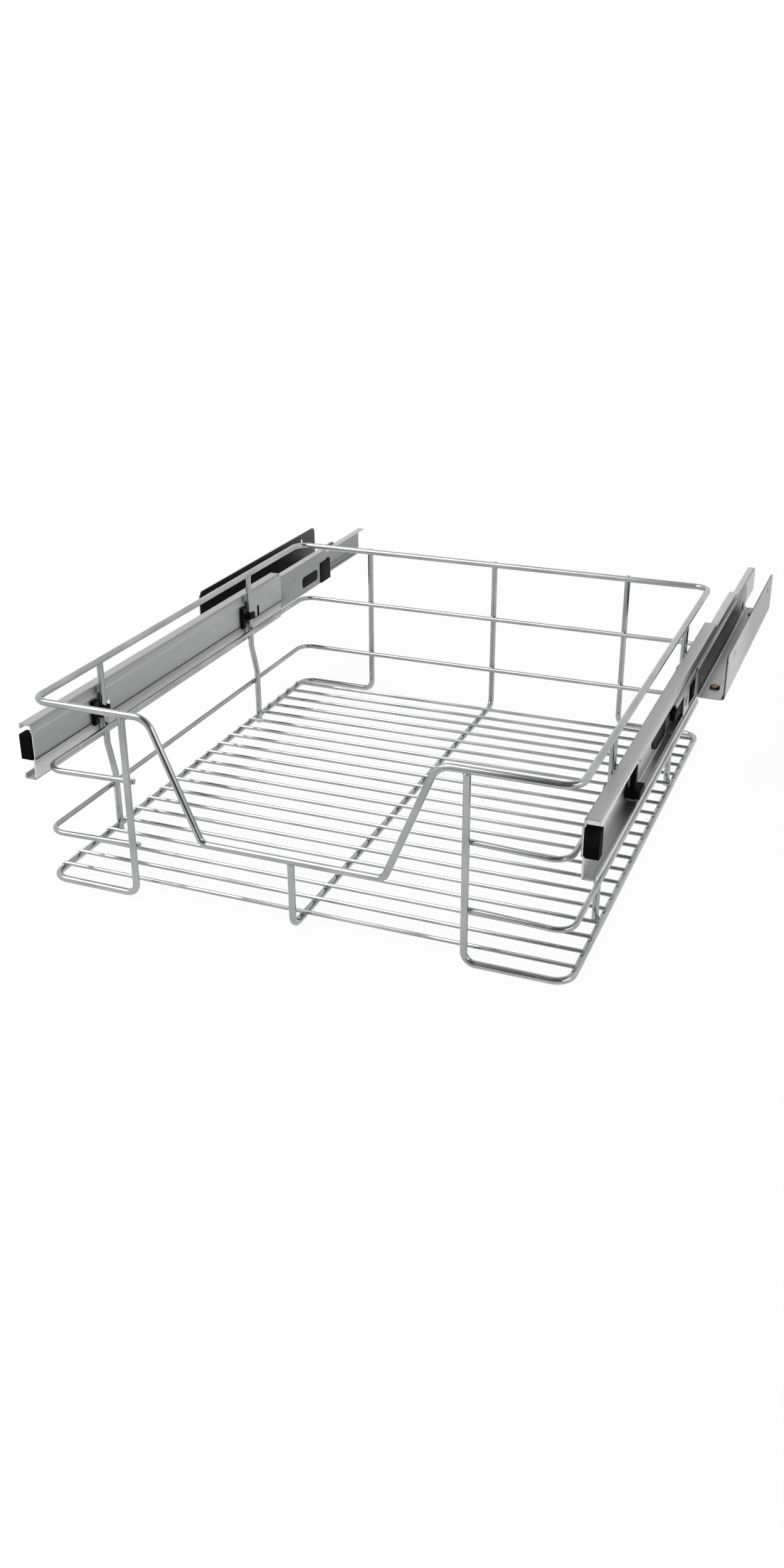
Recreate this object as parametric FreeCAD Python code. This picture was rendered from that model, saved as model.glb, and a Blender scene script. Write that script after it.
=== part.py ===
import FreeCAD, Part
import math
import os
from FreeCAD import Vector

# Pull-out wire drawer on two telescopic slides, drawn half open, in millimetres.
# x runs to the right, y from the front wires to the back, z up from the lowest wires' centre.
# Sections of the slides use u, outward from the basket, and v, up from the slide's centre.

# Basket, measured between wire centres
BASKET_WIDTH = 385.0
BASKET_DEPTH = 430.0
BASKET_HEIGHT = 137.0
FRONT_POST_SPACING = 244.0
BACK_POST_SPACING = 242.0
SCOOP_TOP_WIDTH = 205.0
SCOOP_LOW_WIDTH = 133.0
SCOOP_LOW_HEIGHT = 50.0
LOWER_BAND_HEIGHT = 37.0
UPPER_BAND_HEIGHT = 86.0
FLOOR_FIRST = 15.0              # from the front wires to the first cross wire
FLOOR_PITCH = 19.75
UPRIGHT_GAP_COUNTS = (3, 15)    # whole floor gaps in front of each side upright
JOGGLE_BELOW_RAIL = 4.5         # where the uprights start to bend inwards under the slide
JOGGLE_HEIGHT = 25.0

# Wires
RIM_WIRE = 5.0
FRAME_WIRE = 5.0
UPRIGHT_WIRE = 5.0
BAND_WIRE = 4.0
FLOOR_WIRE = 3.0
WELD_SINK = 0.3                 # how far one wire is pressed into another where they are welded
BAND_OVERHANG = 3.0
BAND_LEAD = 4.0                 # of a band's front corners over its welds on the posts
CORNER_BEND = 12.0
FOOT_BEND = 8.0
SCOOP_BEND = 14.0
SCOOP_FOOT_BEND = 7.0
JOGGLE_BEND = 10.0

# Slides
RAIL_LENGTH = 390.0
RAIL_HEIGHT = 42.0
RAIL_DEPTH = 12.7
RAIL_CENTRE = 97.0
RAIL_STEEL = 1.2
RAIL_BEND = 1.8
WEB_STEP = 1.0
WEB_BAND_TOP = 14.5             # above the slide's centre
WEB_BAND_DROP = 5.0             # below the slide's centre
BASKET_LIP_SETBACK = 1.5
MIDDLE_LIP_SETBACK = 1.8
BASKET_LIP = 3.3
MIDDLE_LIP = 2.3
MIDDLE_RAIL_LENGTH = 390.0
CABINET_RAIL_LENGTH = 378.0
BALL = 3.2
BALL_PLAY = 0.15
CAGE_STEEL = 0.6
RUN_GAP = 0.3
END_PLAY = 1.0
REST_OPENING = 200.0            # how far the drawer stands open as drawn

# Ball cages
OUTER_CAGE_LENGTH = 140.0
OUTER_CAGE_FRONT = 170.0        # from the front of the basket rail
INNER_CAGE_LENGTH = 110.0
INNER_CAGE_FRONT = 53.0         # from the front of the cabinet rail
BALL_PITCH = 13.0
CAGE_END = 6.0

# Bumper, stops and release lever
BUMPER_LENGTH = 8.0
BUMPER_HEIGHT = 19.0
BUMPER_RISE = 3.5               # above the slide's centre, to its middle
BUMPER_PROUD = 1.0
STOP_LENGTH = 12.0
STOP_TOP = 9.0                  # above the slide's centre
STOP_FOOT_TOP = -7.0            # below the slide's centre
STOP_BAR_LENGTH = 4.0           # in front of the middle rail
STOP_STEM_LENGTH = 5.0
STOP_STEM_DEPTH = 4.0
STOP_ARM_HEIGHT = 4.0
STOP_PLATE = 0.85
PADDLE_LENGTH = 44.0
PADDLE_SLANT = 16.0
PADDLE_LOW = -13.5              # below the slide's centre
PADDLE_GAP = 3.0                # left in front of the inner ball cage when the drawer is shut
REAR_STOP_LENGTH = 56.0
REAR_STOP_HEIGHT = 20.0
REAR_STOP_DROP = 5.0            # below the slide's centre
REAR_PAD_LENGTH = 14.0
REAR_CAP_LENGTH = 8.0
REAR_LUG_LENGTH = 35.0
REAR_LUG_HEIGHT = 10.5
REAR_LUG_DROP = 4.0             # below the slide's centre
REAR_PLATE_EDGE = 1.5           # round the lug
LEVER_PIVOT = 5.0
LEVER_PIVOT_SETBACK = 40.0      # from the front of the cabinet rail
LEVER_NOSE = 36.0
LEVER_TAIL = 34.0
LEVER_HEIGHT = 13.0
LEVER_END_HEIGHT = 7.0
LEVER_THICKNESS = 4.0
LEVER_TAB = 12.0
WINDOW_HEIGHT = 17.0
PIVOT_PLAY = 0.05
PIVOT_BRIDGE = 10.0             # from the pivot to the window on either side of it
RIVET_HEAD = 8.0
RIVET_HEAD_HEIGHT = 0.8

# Wire clips that tie the uprights to the basket rails
CLIP_WIDTH = 7.0
CLIP_HEIGHT = 19.0
CLIP_PLATE = 2.2
CLIP_SETBACK = 6.0              # from the plate to the upright's centre
CLIP_BAND_GAP = 2.0             # clear above the upper band wire
CLIP_STRAP_HEIGHT = 5.0
CLIP_STRAP_WALL = 1.4
CLIP_BOSS_WIDTH = 4.5
CLIP_BOSS_HEIGHT = 4.0
CLIP_BOSS_PROUD = 0.6
CLIP_SCREW = 3.0
CLIP_SCREW_HEAD = 5.2
CLIP_SCREW_HEAD_HEIGHT = 1.5
CLIP_SCREW_SPACING = 12.0
CLIP_SCREW_TIP = 0.6
RAIL_SLOT_WIDTH = 4.0
RAIL_SLOT_HEIGHT = 10.0
RAIL_SLOT_SETBACK = 95.0        # from the front of the basket rail

# Wall brackets
BRACKET_LENGTH = 240.0
BRACKET_SETBACK = 78.0          # from the front of the cabinet rail
BRACKET_WIDTH = 23.3
BRACKET_HEIGHT = 36.0
BRACKET_INNER_HEIGHT = 24.0     # of the flange on the slide
BRACKET_DROP = 11.0             # below the slide's centre
BRACKET_STEEL = 1.5
BRACKET_BEND = 2.75
BRACKET_CORNER = 5.0
WALL_HOLE = 5.0
WALL_HOLE_SPACING = 180.0
WALL_HOLE_RISE = 29.0
BRACKET_SCREW = 4.0
BRACKET_SCREW_HEAD = 8.0
BRACKET_SCREW_HEAD_HEIGHT = 2.4
BRACKET_SCREW_SPACING = 196.0
BRACKET_SCREW_TIP = 1.2
RAIL_RIVET = 4.0
RAIL_RIVET_HEAD = 7.0
RAIL_RIVET_HEAD_HEIGHT = 0.8
RAIL_RIVET_SPACING = 208.0
RAIL_RIVET_DROP = 3.0           # below the slide's centre
HOLE_PLAY = 0.05

# Places that follow from the sizes above
HALF_WIDTH = BASKET_WIDTH / 2
RAIL_X = HALF_WIDTH + UPRIGHT_WIRE / 2
RIM_BACK = BASKET_DEPTH - (RIM_WIRE + FRAME_WIRE) / 2 + WELD_SINK
UPRIGHT_FOOT_X = HALF_WIDTH - (FRAME_WIRE + UPRIGHT_WIRE) / 2 + WELD_SINK
UPRIGHT_YS = [FLOOR_FIRST + (count + 0.5) * FLOOR_PITCH for count in UPRIGHT_GAP_COUNTS]
JOGGLE_TOP = RAIL_CENTRE - RAIL_HEIGHT / 2 - JOGGLE_BELOW_RAIL
CLIP_LOW = UPPER_BAND_HEIGHT - RAIL_CENTRE + BAND_WIRE / 2 + CLIP_BAND_GAP
CLIP_MIDDLE = CLIP_LOW + CLIP_HEIGHT / 2

MIDDLE_FRONT = BUMPER_LENGTH + END_PLAY + REST_OPENING / 2
CABINET_FRONT = BUMPER_LENGTH + STOP_LENGTH + 2 * END_PLAY + REST_OPENING
OUTER_CAGE_U = WEB_STEP + RAIL_STEEL + RUN_GAP
MIDDLE_U = OUTER_CAGE_U + CAGE_STEEL + RUN_GAP
INNER_CAGE_U = MIDDLE_U + RAIL_STEEL + RUN_GAP
CABINET_TIP_U = INNER_CAGE_U + CAGE_STEEL + RUN_GAP
CABINET_WEB_U = RAIL_DEPTH - RAIL_STEEL
BASKET_LIP_U = RAIL_DEPTH - BASKET_LIP_SETBACK - RAIL_STEEL
MIDDLE_LIP_U = RAIL_DEPTH - MIDDLE_LIP_SETBACK - RAIL_STEEL
OUTER_BALL_V = RAIL_HEIGHT / 2 - RAIL_STEEL - BALL_PLAY - BALL / 2
MIDDLE_FLANGE_V = OUTER_BALL_V - BALL / 2 - BALL_PLAY
INNER_BALL_V = MIDDLE_FLANGE_V - RAIL_STEEL - BALL_PLAY - BALL / 2
CABINET_FLANGE_V = INNER_BALL_V - BALL / 2 - BALL_PLAY
OUTER_BALL_U = (OUTER_CAGE_U + CAGE_STEEL + BASKET_LIP_U) / 2
INNER_BALL_U = (INNER_CAGE_U + CAGE_STEEL + MIDDLE_LIP_U) / 2

SHUT_CAGE_FRONT = CABINET_FRONT + INNER_CAGE_FRONT - REST_OPENING / 4
PADDLE_REAR = SHUT_CAGE_FRONT - PADDLE_GAP
LEVER_Y = CABINET_FRONT + LEVER_PIVOT_SETBACK
BRACKET_FRONT = CABINET_FRONT + BRACKET_SETBACK
BRACKET_MIDDLE = BRACKET_FRONT + BRACKET_LENGTH / 2
BRACKET_MIDDLE_U = RAIL_DEPTH + BRACKET_WIDTH / 2
FRONT_END = -RIM_WIRE / 2
BACK_END = CABINET_FRONT + CABINET_RAIL_LENGTH
ORIGIN_SHIFT = Vector(0, -(FRONT_END + BACK_END) / 2, FRAME_WIRE / 2)


def rounded_edges(points, bends, closed):
    """Straight runs through the points, with an arc of the given radius at each corner."""
    corners = []
    for i, point in enumerate(points):
        is_end = not closed and i in (0, len(points) - 1)
        if is_end or bends[i] == 0:
            corners.append((point, None, point))
            continue
        back = (points[i - 1] - point).normalize()
        ahead = (points[(i + 1) % len(points)] - point).normalize()
        half_angle = back.getAngle(ahead) / 2
        reach = bends[i] / math.tan(half_angle)
        to_arc = bends[i] / math.sin(half_angle) - bends[i]
        crown = point + (back + ahead).normalize() * to_arc
        corners.append((point + back * reach, crown, point + ahead * reach))
    edges = []
    for i, (start, crown, end) in enumerate(corners):
        if crown is not None:
            edges.append(Part.Arc(start, crown, end).toShape())
        if closed or i < len(corners) - 1:
            edges.append(Part.makeLine(end, corners[(i + 1) % len(corners)][0]))
    return edges


def bent_wire(points, bends, diameter, closed=False):
    """Round wire whose centre line runs through the points, bent to the given radii."""
    path = Part.Wire(rounded_edges([Vector(*point) for point in points], bends, closed))
    first = path.Edges[0]
    heading = first.tangentAt(first.FirstParameter)
    ring = Part.makeCircle(diameter / 2, first.firstVertex().Point, heading)
    return path.makePipeShell([Part.Wire(ring)], True, False)


def section_point(u, v, y):
    """Point of the right-hand slide at u outward, v up and y back."""
    return Vector(RAIL_X + u, y, RAIL_CENTRE + v)


def sheet_bar(middle_line, thickness, bend, front, length):
    """Straight bar of bent sheet: its middle line in u and v, thickened and drawn back from front."""
    half = thickness / 2
    runs = [(b[0] - a[0], b[1] - a[1]) for a, b in zip(middle_line, middle_line[1:])]
    headings = [(du / math.hypot(du, dv), dv / math.hypot(du, dv)) for du, dv in runs]
    left = []
    right = []
    for i, (u, v) in enumerate(middle_line):
        before = headings[max(i - 1, 0)]
        after = headings[min(i, len(headings) - 1)]
        spread = half / (1 + before[0] * after[0] + before[1] * after[1])
        du = -(before[1] + after[1]) * spread
        dv = (before[0] + after[0]) * spread
        turn = before[0] * after[1] - before[1] * after[0]
        lean = math.copysign(half, turn) if turn else 0
        is_end = i in (0, len(middle_line) - 1)
        left.append((section_point(u + du, v + dv, front), 0 if is_end else bend - lean))
        right.append((section_point(u - du, v - dv, front), 0 if is_end else bend + lean))
    outline = left + right[::-1]
    edges = rounded_edges([point for point, _ in outline], [radius for _, radius in outline], True)
    return Part.Face(Part.Wire(edges)).extrude(Vector(0, length, 0))


def block(u, y, v):
    """Box of the right-hand slide between the low and high values of u, y and v."""
    corner = section_point(u[0], v[0], y[0])
    return Part.makeBox(u[1] - u[0], y[1] - y[0], v[1] - v[0], corner)


def peg(diameter, u, y, v):
    """Round bar across the right-hand slide, from the low to the high value of u."""
    return Part.makeCylinder(diameter / 2, u[1] - u[0], section_point(u[0], v, y), Vector(1, 0, 0))


def upright_peg(diameter, u, y, v):
    """Upright round bar beside the right-hand slide, from the low to the high value of v."""
    return Part.makeCylinder(diameter / 2, v[1] - v[0], section_point(u, v[0], y))


def side_prism(corners, radii, u):
    """Plate of the right-hand slide: rounded outline in y and v, between two values of u."""
    points = [section_point(u[0], v, y) for y, v in corners]
    face = Part.Face(Part.Wire(rounded_edges(points, radii, True)))
    return face.extrude(Vector(u[1] - u[0], 0, 0))


def rim_wire():
    side = []
    bends = []
    for x, y, z, bend in ((HALF_WIDTH, RIM_BACK, BASKET_HEIGHT, CORNER_BEND),
                          (HALF_WIDTH, 0, BASKET_HEIGHT, CORNER_BEND),
                          (SCOOP_TOP_WIDTH / 2, 0, BASKET_HEIGHT, SCOOP_BEND),
                          (SCOOP_LOW_WIDTH / 2, 0, SCOOP_LOW_HEIGHT, SCOOP_FOOT_BEND)):
        side.append((x, y, z))
        bends.append(bend)
    other_side = [(-x, y, z) for x, y, z in side[::-1]]
    loop = [(0, RIM_BACK, BASKET_HEIGHT)] + side + other_side
    return bent_wire(loop, [0] + bends + bends[::-1], RIM_WIRE, closed=True)


def frame_wire():
    """Right-hand frame: front post, front, side and back edges of the floor, back post."""
    front = FRONT_POST_SPACING / 2
    back = BACK_POST_SPACING / 2
    points = [(front, 0, BASKET_HEIGHT - RIM_WIRE / 4), (front, 0, 0), (HALF_WIDTH, 0, 0),
              (HALF_WIDTH, BASKET_DEPTH, 0), (back, BASKET_DEPTH, 0),
              (back, BASKET_DEPTH, BASKET_HEIGHT + RIM_WIRE / 4)]
    return bent_wire(points, [0, FOOT_BEND, CORNER_BEND, CORNER_BEND, FOOT_BEND, 0], FRAME_WIRE)


def centre_frame_wire():
    points = [(0, 0, SCOOP_LOW_HEIGHT - RIM_WIRE / 4), (0, 0, 0), (0, BASKET_DEPTH, 0),
              (0, BASKET_DEPTH, BASKET_HEIGHT + RIM_WIRE / 4)]
    return bent_wire(points, [0, FOOT_BEND, FOOT_BEND, 0], FRAME_WIRE)


def band_wire(half_width, height):
    """Band round both sides and the back, welded to the inside of the posts."""
    off_post = (FRAME_WIRE + BAND_WIRE) / 2 - WELD_SINK
    post = FRONT_POST_SPACING / 2
    end = post - BAND_OVERHANG
    end_y = off_post + BAND_LEAD * BAND_OVERHANG / (half_width - post)
    front = off_post - BAND_LEAD
    back = BASKET_DEPTH - off_post
    points = [(-end, end_y, height), (-half_width, front, height), (-half_width, back, height),
              (half_width, back, height), (half_width, front, height), (end, end_y, height)]
    return bent_wire(points, [0] + [CORNER_BEND] * 4 + [0], BAND_WIRE)


def side_upright(y):
    """Upright from the rim, past the slide, then inwards to the inside of the floor's edge."""
    points = [(HALF_WIDTH, y, BASKET_HEIGHT - RIM_WIRE / 4), (HALF_WIDTH, y, JOGGLE_TOP),
              (UPRIGHT_FOOT_X, y, JOGGLE_TOP - JOGGLE_HEIGHT), (UPRIGHT_FOOT_X, y, -FRAME_WIRE / 2)]
    return bent_wire(points, [0, JOGGLE_BEND, JOGGLE_BEND, 0], UPRIGHT_WIRE)


def floor_cross_wires():
    height = (FRAME_WIRE + FLOOR_WIRE) / 2 - WELD_SINK
    room = BASKET_DEPTH - (FRAME_WIRE + FLOOR_WIRE) / 2 - FLOOR_FIRST
    wires = []
    for i in range(int(room / FLOOR_PITCH) + 1):
        start = Vector(-HALF_WIDTH, FLOOR_FIRST + i * FLOOR_PITCH, height)
        wires.append(Part.makeCylinder(FLOOR_WIRE / 2, BASKET_WIDTH, start, Vector(1, 0, 0)))
    return wires


def clip_ys():
    """Middle of each wire clip's plate, in front of its upright."""
    return [y - CLIP_SETBACK - CLIP_WIDTH / 2 for y in UPRIGHT_YS]


def clip_screw_places():
    """Places in y and v of the screws that hold the wire clips."""
    vs = (CLIP_MIDDLE - CLIP_SCREW_SPACING / 2, CLIP_MIDDLE + CLIP_SCREW_SPACING / 2)
    return [(y, v) for y in clip_ys() for v in vs]


def clip_boss(y, depth, play=0.0):
    """Boss of a wire clip in the web of the large rail, or the slot for it, larger by the play."""
    half_width = CLIP_BOSS_WIDTH / 2 + play
    half_height = CLIP_BOSS_HEIGHT / 2 + play
    vs = (CLIP_MIDDLE - half_height, CLIP_MIDDLE + half_height)
    return block(depth, (y - half_width, y + half_width), vs)


def basket_rail():
    """Large rail, its web on the basket and its open side to the cabinet."""
    half = RAIL_STEEL / 2
    flange = RAIL_HEIGHT / 2 - half
    lip = (BASKET_LIP_U + half, flange - BASKET_LIP)
    top = [lip, (lip[0], flange), (WEB_STEP + half, flange)]
    foot = [(u, -v) for u, v in top[::-1]]
    band = [(WEB_STEP + half, WEB_BAND_TOP + WEB_STEP), (half, WEB_BAND_TOP),
            (half, -WEB_BAND_DROP), (WEB_STEP + half, -WEB_BAND_DROP - WEB_STEP)]
    line = top + band + foot
    rail = sheet_bar(line, RAIL_STEEL, RAIL_BEND / 2, 0, RAIL_LENGTH)
    through = (-RAIL_STEEL, 2 * RAIL_STEEL)
    holes = [peg(CLIP_SCREW + 2 * HOLE_PLAY, through, y, v) for y, v in clip_screw_places()]
    holes += [clip_boss(y, through, HOLE_PLAY) for y in clip_ys()]
    for y in (RAIL_SLOT_SETBACK, RAIL_LENGTH - RAIL_SLOT_SETBACK / 2):
        ys = (y - RAIL_SLOT_WIDTH / 2, y + RAIL_SLOT_WIDTH / 2)
        v = RAIL_SLOT_HEIGHT / 2
        outline = [(ys[0], -v), (ys[1], -v), (ys[1], v), (ys[0], v)]
        holes.append(side_prism(outline, [RAIL_SLOT_WIDTH / 3] * 4, through))
    return rail.cut(holes)


def middle_rail():
    """Middle rail, open to the same side as the large one."""
    half = RAIL_STEEL / 2
    flange = MIDDLE_FLANGE_V - half
    lip = (MIDDLE_LIP_U + half, flange - MIDDLE_LIP)
    top = [lip, (lip[0], flange), (MIDDLE_U + half, flange)]
    line = top + [(u, -v) for u, v in top[::-1]]
    rail = sheet_bar(line, RAIL_STEEL, RAIL_BEND, MIDDLE_FRONT, MIDDLE_RAIL_LENGTH)
    return rail.cut(rear_lug(HOLE_PLAY))


def cabinet_rail():
    """Small rail, its web on the wall bracket and its flanges inside the middle rail."""
    half = RAIL_STEEL / 2
    flange = CABINET_FLANGE_V - half
    web = CABINET_WEB_U + half
    line = [(CABINET_TIP_U, flange), (web, flange), (web, -flange), (CABINET_TIP_U, -flange)]
    rail = sheet_bar(line, RAIL_STEEL, RAIL_BEND, CABINET_FRONT, CABINET_RAIL_LENGTH)
    through = (CABINET_WEB_U - RAIL_STEEL, RAIL_DEPTH + RAIL_STEEL)
    window = (-WINDOW_HEIGHT / 2, WINDOW_HEIGHT / 2)
    nose_window = block(through, (CABINET_FRONT - END_PLAY, LEVER_Y - PIVOT_BRIDGE), window)
    tail_window = block(through, (LEVER_Y + PIVOT_BRIDGE, LEVER_Y + LEVER_TAIL + END_PLAY), window)
    holes = [peg(LEVER_PIVOT + 2 * HOLE_PLAY, through, LEVER_Y, 0)]
    rivet_hole = RAIL_RIVET + 2 * HOLE_PLAY
    holes += [peg(rivet_hole, through, y, -RAIL_RIVET_DROP) for y in along_bracket(RAIL_RIVET_SPACING)]
    return rail.cut([nose_window, tail_window] + holes)


def ball_cage(web_u, tip_u, ball_u, ball_v, front, length):
    """Thin retainer of a slide: its two edges are pierced for the rows of balls."""
    half = CAGE_STEEL / 2
    line = [(tip_u, ball_v), (web_u + half, ball_v), (web_u + half, -ball_v), (tip_u, -ball_v)]
    cage = sheet_bar(line, CAGE_STEEL, CAGE_STEEL, front, length)
    hole = BALL / 2 + BALL_PLAY
    holes = []
    for y in ball_ys(front, length):
        foot = section_point(ball_u, -ball_v - BALL, y)
        holes.append(Part.makeCylinder(hole, 2 * (ball_v + BALL), foot))
    return cage.cut(holes)


def ball_ys(front, length):
    count = int((length - 2 * CAGE_END) / BALL_PITCH) + 1
    first = front + (length - (count - 1) * BALL_PITCH) / 2
    return [first + i * BALL_PITCH for i in range(count)]


def ball_rows(ball_u, ball_v, front, length):
    places = [section_point(ball_u, v, y) for y in ball_ys(front, length) for v in (ball_v, -ball_v)]
    return Part.makeCompound([Part.makeSphere(BALL / 2, place) for place in places])


def front_bumper():
    """Rubber block in the front end of the large rail, with a foot in the step of its web."""
    ys = (-BUMPER_PROUD, BUMPER_LENGTH)
    shelf = WEB_STEP + RAIL_STEEL + RUN_GAP
    low = BUMPER_RISE - BUMPER_HEIGHT / 2
    high = BUMPER_RISE + BUMPER_HEIGHT / 2
    foot_vs = (WEB_STEP - WEB_BAND_DROP, min(WEB_BAND_TOP - WEB_STEP, high))
    foot = block((RAIL_STEEL, shelf), (0, BUMPER_LENGTH), foot_vs)
    outline = [(ys[0], low), (ys[1], low), (ys[1], high), (ys[0], high)]
    body = side_prism(outline, [BUMPER_PROUD, 0, 0, BUMPER_PROUD], (shelf, BASKET_LIP_U + RAIL_STEEL))
    return foot.fuse(body).removeSplitter()


def middle_front_stop():
    """Moulded stop in the middle rail's front end: a foot with a bar across the rail's end and a stem,
    then an arm and a paddle behind."""
    web = MIDDLE_U + RAIL_STEEL
    plate = (web, web + STOP_PLATE)
    ys = (MIDDLE_FRONT, MIDDLE_FRONT + STOP_LENGTH)
    inner_v = MIDDLE_FLANGE_V - RAIL_STEEL / 2 - RAIL_BEND
    foot = block((web, MIDDLE_LIP_U - RUN_GAP), ys, (-inner_v, STOP_FOOT_TOP))
    lip_v = MIDDLE_FLANGE_V - RAIL_STEEL - MIDDLE_LIP
    toe = block((MIDDLE_LIP_U - RUN_GAP, RAIL_DEPTH), ys, (-lip_v, STOP_FOOT_TOP))
    bar_ys = (MIDDLE_FRONT - STOP_BAR_LENGTH, MIDDLE_FRONT)
    bar = block((OUTER_CAGE_U, RAIL_DEPTH), bar_ys, (-lip_v, STOP_FOOT_TOP))
    stem_ys = (MIDDLE_FRONT, MIDDLE_FRONT + STOP_STEM_LENGTH)
    stem = block((web, web + STOP_STEM_DEPTH), stem_ys, (STOP_FOOT_TOP, STOP_TOP))
    paddle_front = PADDLE_REAR - PADDLE_LENGTH
    arm_v = (STOP_TOP - STOP_ARM_HEIGHT, STOP_TOP)
    arm = block(plate, (stem_ys[1], paddle_front + PADDLE_SLANT), arm_v)
    outline = [(paddle_front, PADDLE_LOW / 2), (paddle_front + PADDLE_SLANT, PADDLE_LOW),
               (PADDLE_REAR, PADDLE_LOW), (PADDLE_REAR, STOP_TOP), (paddle_front, STOP_TOP)]
    paddle = side_prism(outline, [0, STOP_ARM_HEIGHT, STOP_ARM_HEIGHT / 2, STOP_ARM_HEIGHT / 2, 0], plate)
    return foot.fuse([toe, bar, stem, arm, paddle]).removeSplitter()


def rear_lug(play=0.0):
    """Lug of the rear stop in the web of the middle rail, or the slot for it, larger by the play."""
    front = MIDDLE_FRONT + MIDDLE_RAIL_LENGTH - REAR_STOP_LENGTH
    ys = (front - play, front + REAR_LUG_LENGTH + play)
    low = -REAR_LUG_DROP - REAR_LUG_HEIGHT / 2 - play
    high = -REAR_LUG_DROP + REAR_LUG_HEIGHT / 2 + play
    outline = [(ys[0], low), (ys[1], low), (ys[1], high), (ys[0], high)]
    return side_prism(outline, [REAR_LUG_HEIGHT / 3] * 4, (MIDDLE_U, MIDDLE_U + RAIL_STEEL))


def middle_rear_stop():
    """Moulded stop on the web of the middle rail, folded round the web's rear end."""
    rear = MIDDLE_FRONT + MIDDLE_RAIL_LENGTH
    front = rear - REAR_STOP_LENGTH
    web = (MIDDLE_U, MIDDLE_U + RAIL_STEEL)
    vs = (-REAR_STOP_DROP - REAR_STOP_HEIGHT / 2, -REAR_STOP_DROP + REAR_STOP_HEIGHT / 2)
    plate_low = -REAR_LUG_DROP - REAR_LUG_HEIGHT / 2 - REAR_PLATE_EDGE
    plate_v = (plate_low, vs[1])
    plate = block((web[1], web[1] + STOP_PLATE), (front - REAR_PLATE_EDGE, rear), plate_v)
    cap = block((OUTER_CAGE_U, web[1] + STOP_PLATE), (rear, rear + REAR_CAP_LENGTH), vs)
    pad = block((OUTER_CAGE_U, web[0]), (rear - REAR_PAD_LENGTH, rear), vs)
    return plate.fuse([cap, pad, rear_lug()]).removeSplitter()


def lever_places():
    """The lever's thickness in u: clear of the web's inner face by the running gap."""
    outer = CABINET_WEB_U - RUN_GAP
    return outer - LEVER_THICKNESS, outer


def release_lever():
    """Latch lever inside the small rail, with a nose at the front and a thumb tab at the back."""
    inner, outer = lever_places()
    nose = LEVER_Y - LEVER_NOSE
    tail = LEVER_Y + LEVER_TAIL
    end = LEVER_END_HEIGHT / 2
    waist = LEVER_HEIGHT / 2
    outline = [(nose, -end), (LEVER_Y - waist, -waist), (LEVER_Y + waist, -waist), (tail, -end),
               (tail, end), (LEVER_Y + waist, waist), (LEVER_Y - waist, waist), (nose, end)]
    radii = [end / 2, waist, waist, end / 2, end / 2, waist, waist, end / 2]
    body = side_prism(outline, radii, (inner, outer))
    tab = block((outer, RAIL_DEPTH), (tail - LEVER_TAB, tail), (-end, end))
    pivot_hole = peg(LEVER_PIVOT + 2 * PIVOT_PLAY, (inner, outer), LEVER_Y, 0)
    return body.fuse(tab).removeSplitter().cut(pivot_hole)


def lever_pivot():
    """Rivet of the lever, with a head on each side."""
    inner = lever_places()[0] - RUN_GAP
    shank = peg(LEVER_PIVOT, (inner, RAIL_DEPTH), LEVER_Y, 0)
    inner_head = peg(RIVET_HEAD, (inner - RIVET_HEAD_HEIGHT, inner), LEVER_Y, 0)
    outer_head = peg(RIVET_HEAD, (RAIL_DEPTH, RAIL_DEPTH + RIVET_HEAD_HEIGHT), LEVER_Y, 0)
    return shank.fuse([inner_head, outer_head]).removeSplitter()


def wire_clip(upright_y, y):
    """Clip screwed to the large rail: a plate, a boss in the web and a strap round the upright."""
    ys = (y - CLIP_WIDTH / 2, y + CLIP_WIDTH / 2)
    plate = block((-CLIP_PLATE, 0), ys, (CLIP_LOW, CLIP_LOW + CLIP_HEIGHT))
    boss = clip_boss(y, (-CLIP_PLATE, RAIL_STEEL + CLIP_BOSS_PROUD))
    strap_low = CLIP_MIDDLE - CLIP_STRAP_HEIGHT / 2
    strap_u = -UPRIGHT_WIRE - CLIP_STRAP_WALL
    strap_rear = upright_y + UPRIGHT_WIRE / 2 + CLIP_STRAP_WALL
    plan = [(strap_u, ys[1]), (strap_u, strap_rear), (0, strap_rear), (0, ys[1]), (-CLIP_PLATE, ys[1])]
    points = [section_point(u, strap_low, place) for u, place in plan]
    edges = rounded_edges(points, [0, CLIP_STRAP_WALL, 0, 0, 0], True)
    strap = Part.Face(Part.Wire(edges)).extrude(Vector(0, 0, CLIP_STRAP_HEIGHT))
    wire_foot = Vector(HALF_WIDTH, upright_y, RAIL_CENTRE + CLIP_LOW)
    wire_hole = Part.makeCylinder(UPRIGHT_WIRE / 2 + HOLE_PLAY, CLIP_HEIGHT, wire_foot)
    screw_hole = CLIP_SCREW + 2 * HOLE_PLAY
    holes = [peg(screw_hole, (-CLIP_PLATE, 0), place, v) for place, v in clip_screw_places()]
    return plate.fuse([boss, strap]).removeSplitter().cut([wire_hole] + holes)


def clip_screw(y, v):
    """Pan-head screw through a clip into the web of the large rail."""
    shank = peg(CLIP_SCREW, (-CLIP_PLATE, RAIL_STEEL + CLIP_SCREW_TIP), y, v)
    head = peg(CLIP_SCREW_HEAD, (-CLIP_PLATE - CLIP_SCREW_HEAD_HEIGHT, -CLIP_PLATE), y, v)
    return shank.fuse(head).removeSplitter()


def along_bracket(spacing):
    """Two places in y, so far apart, at equal distances from the middle of the bracket."""
    return [BRACKET_MIDDLE - spacing / 2, BRACKET_MIDDLE + spacing / 2]


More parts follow.
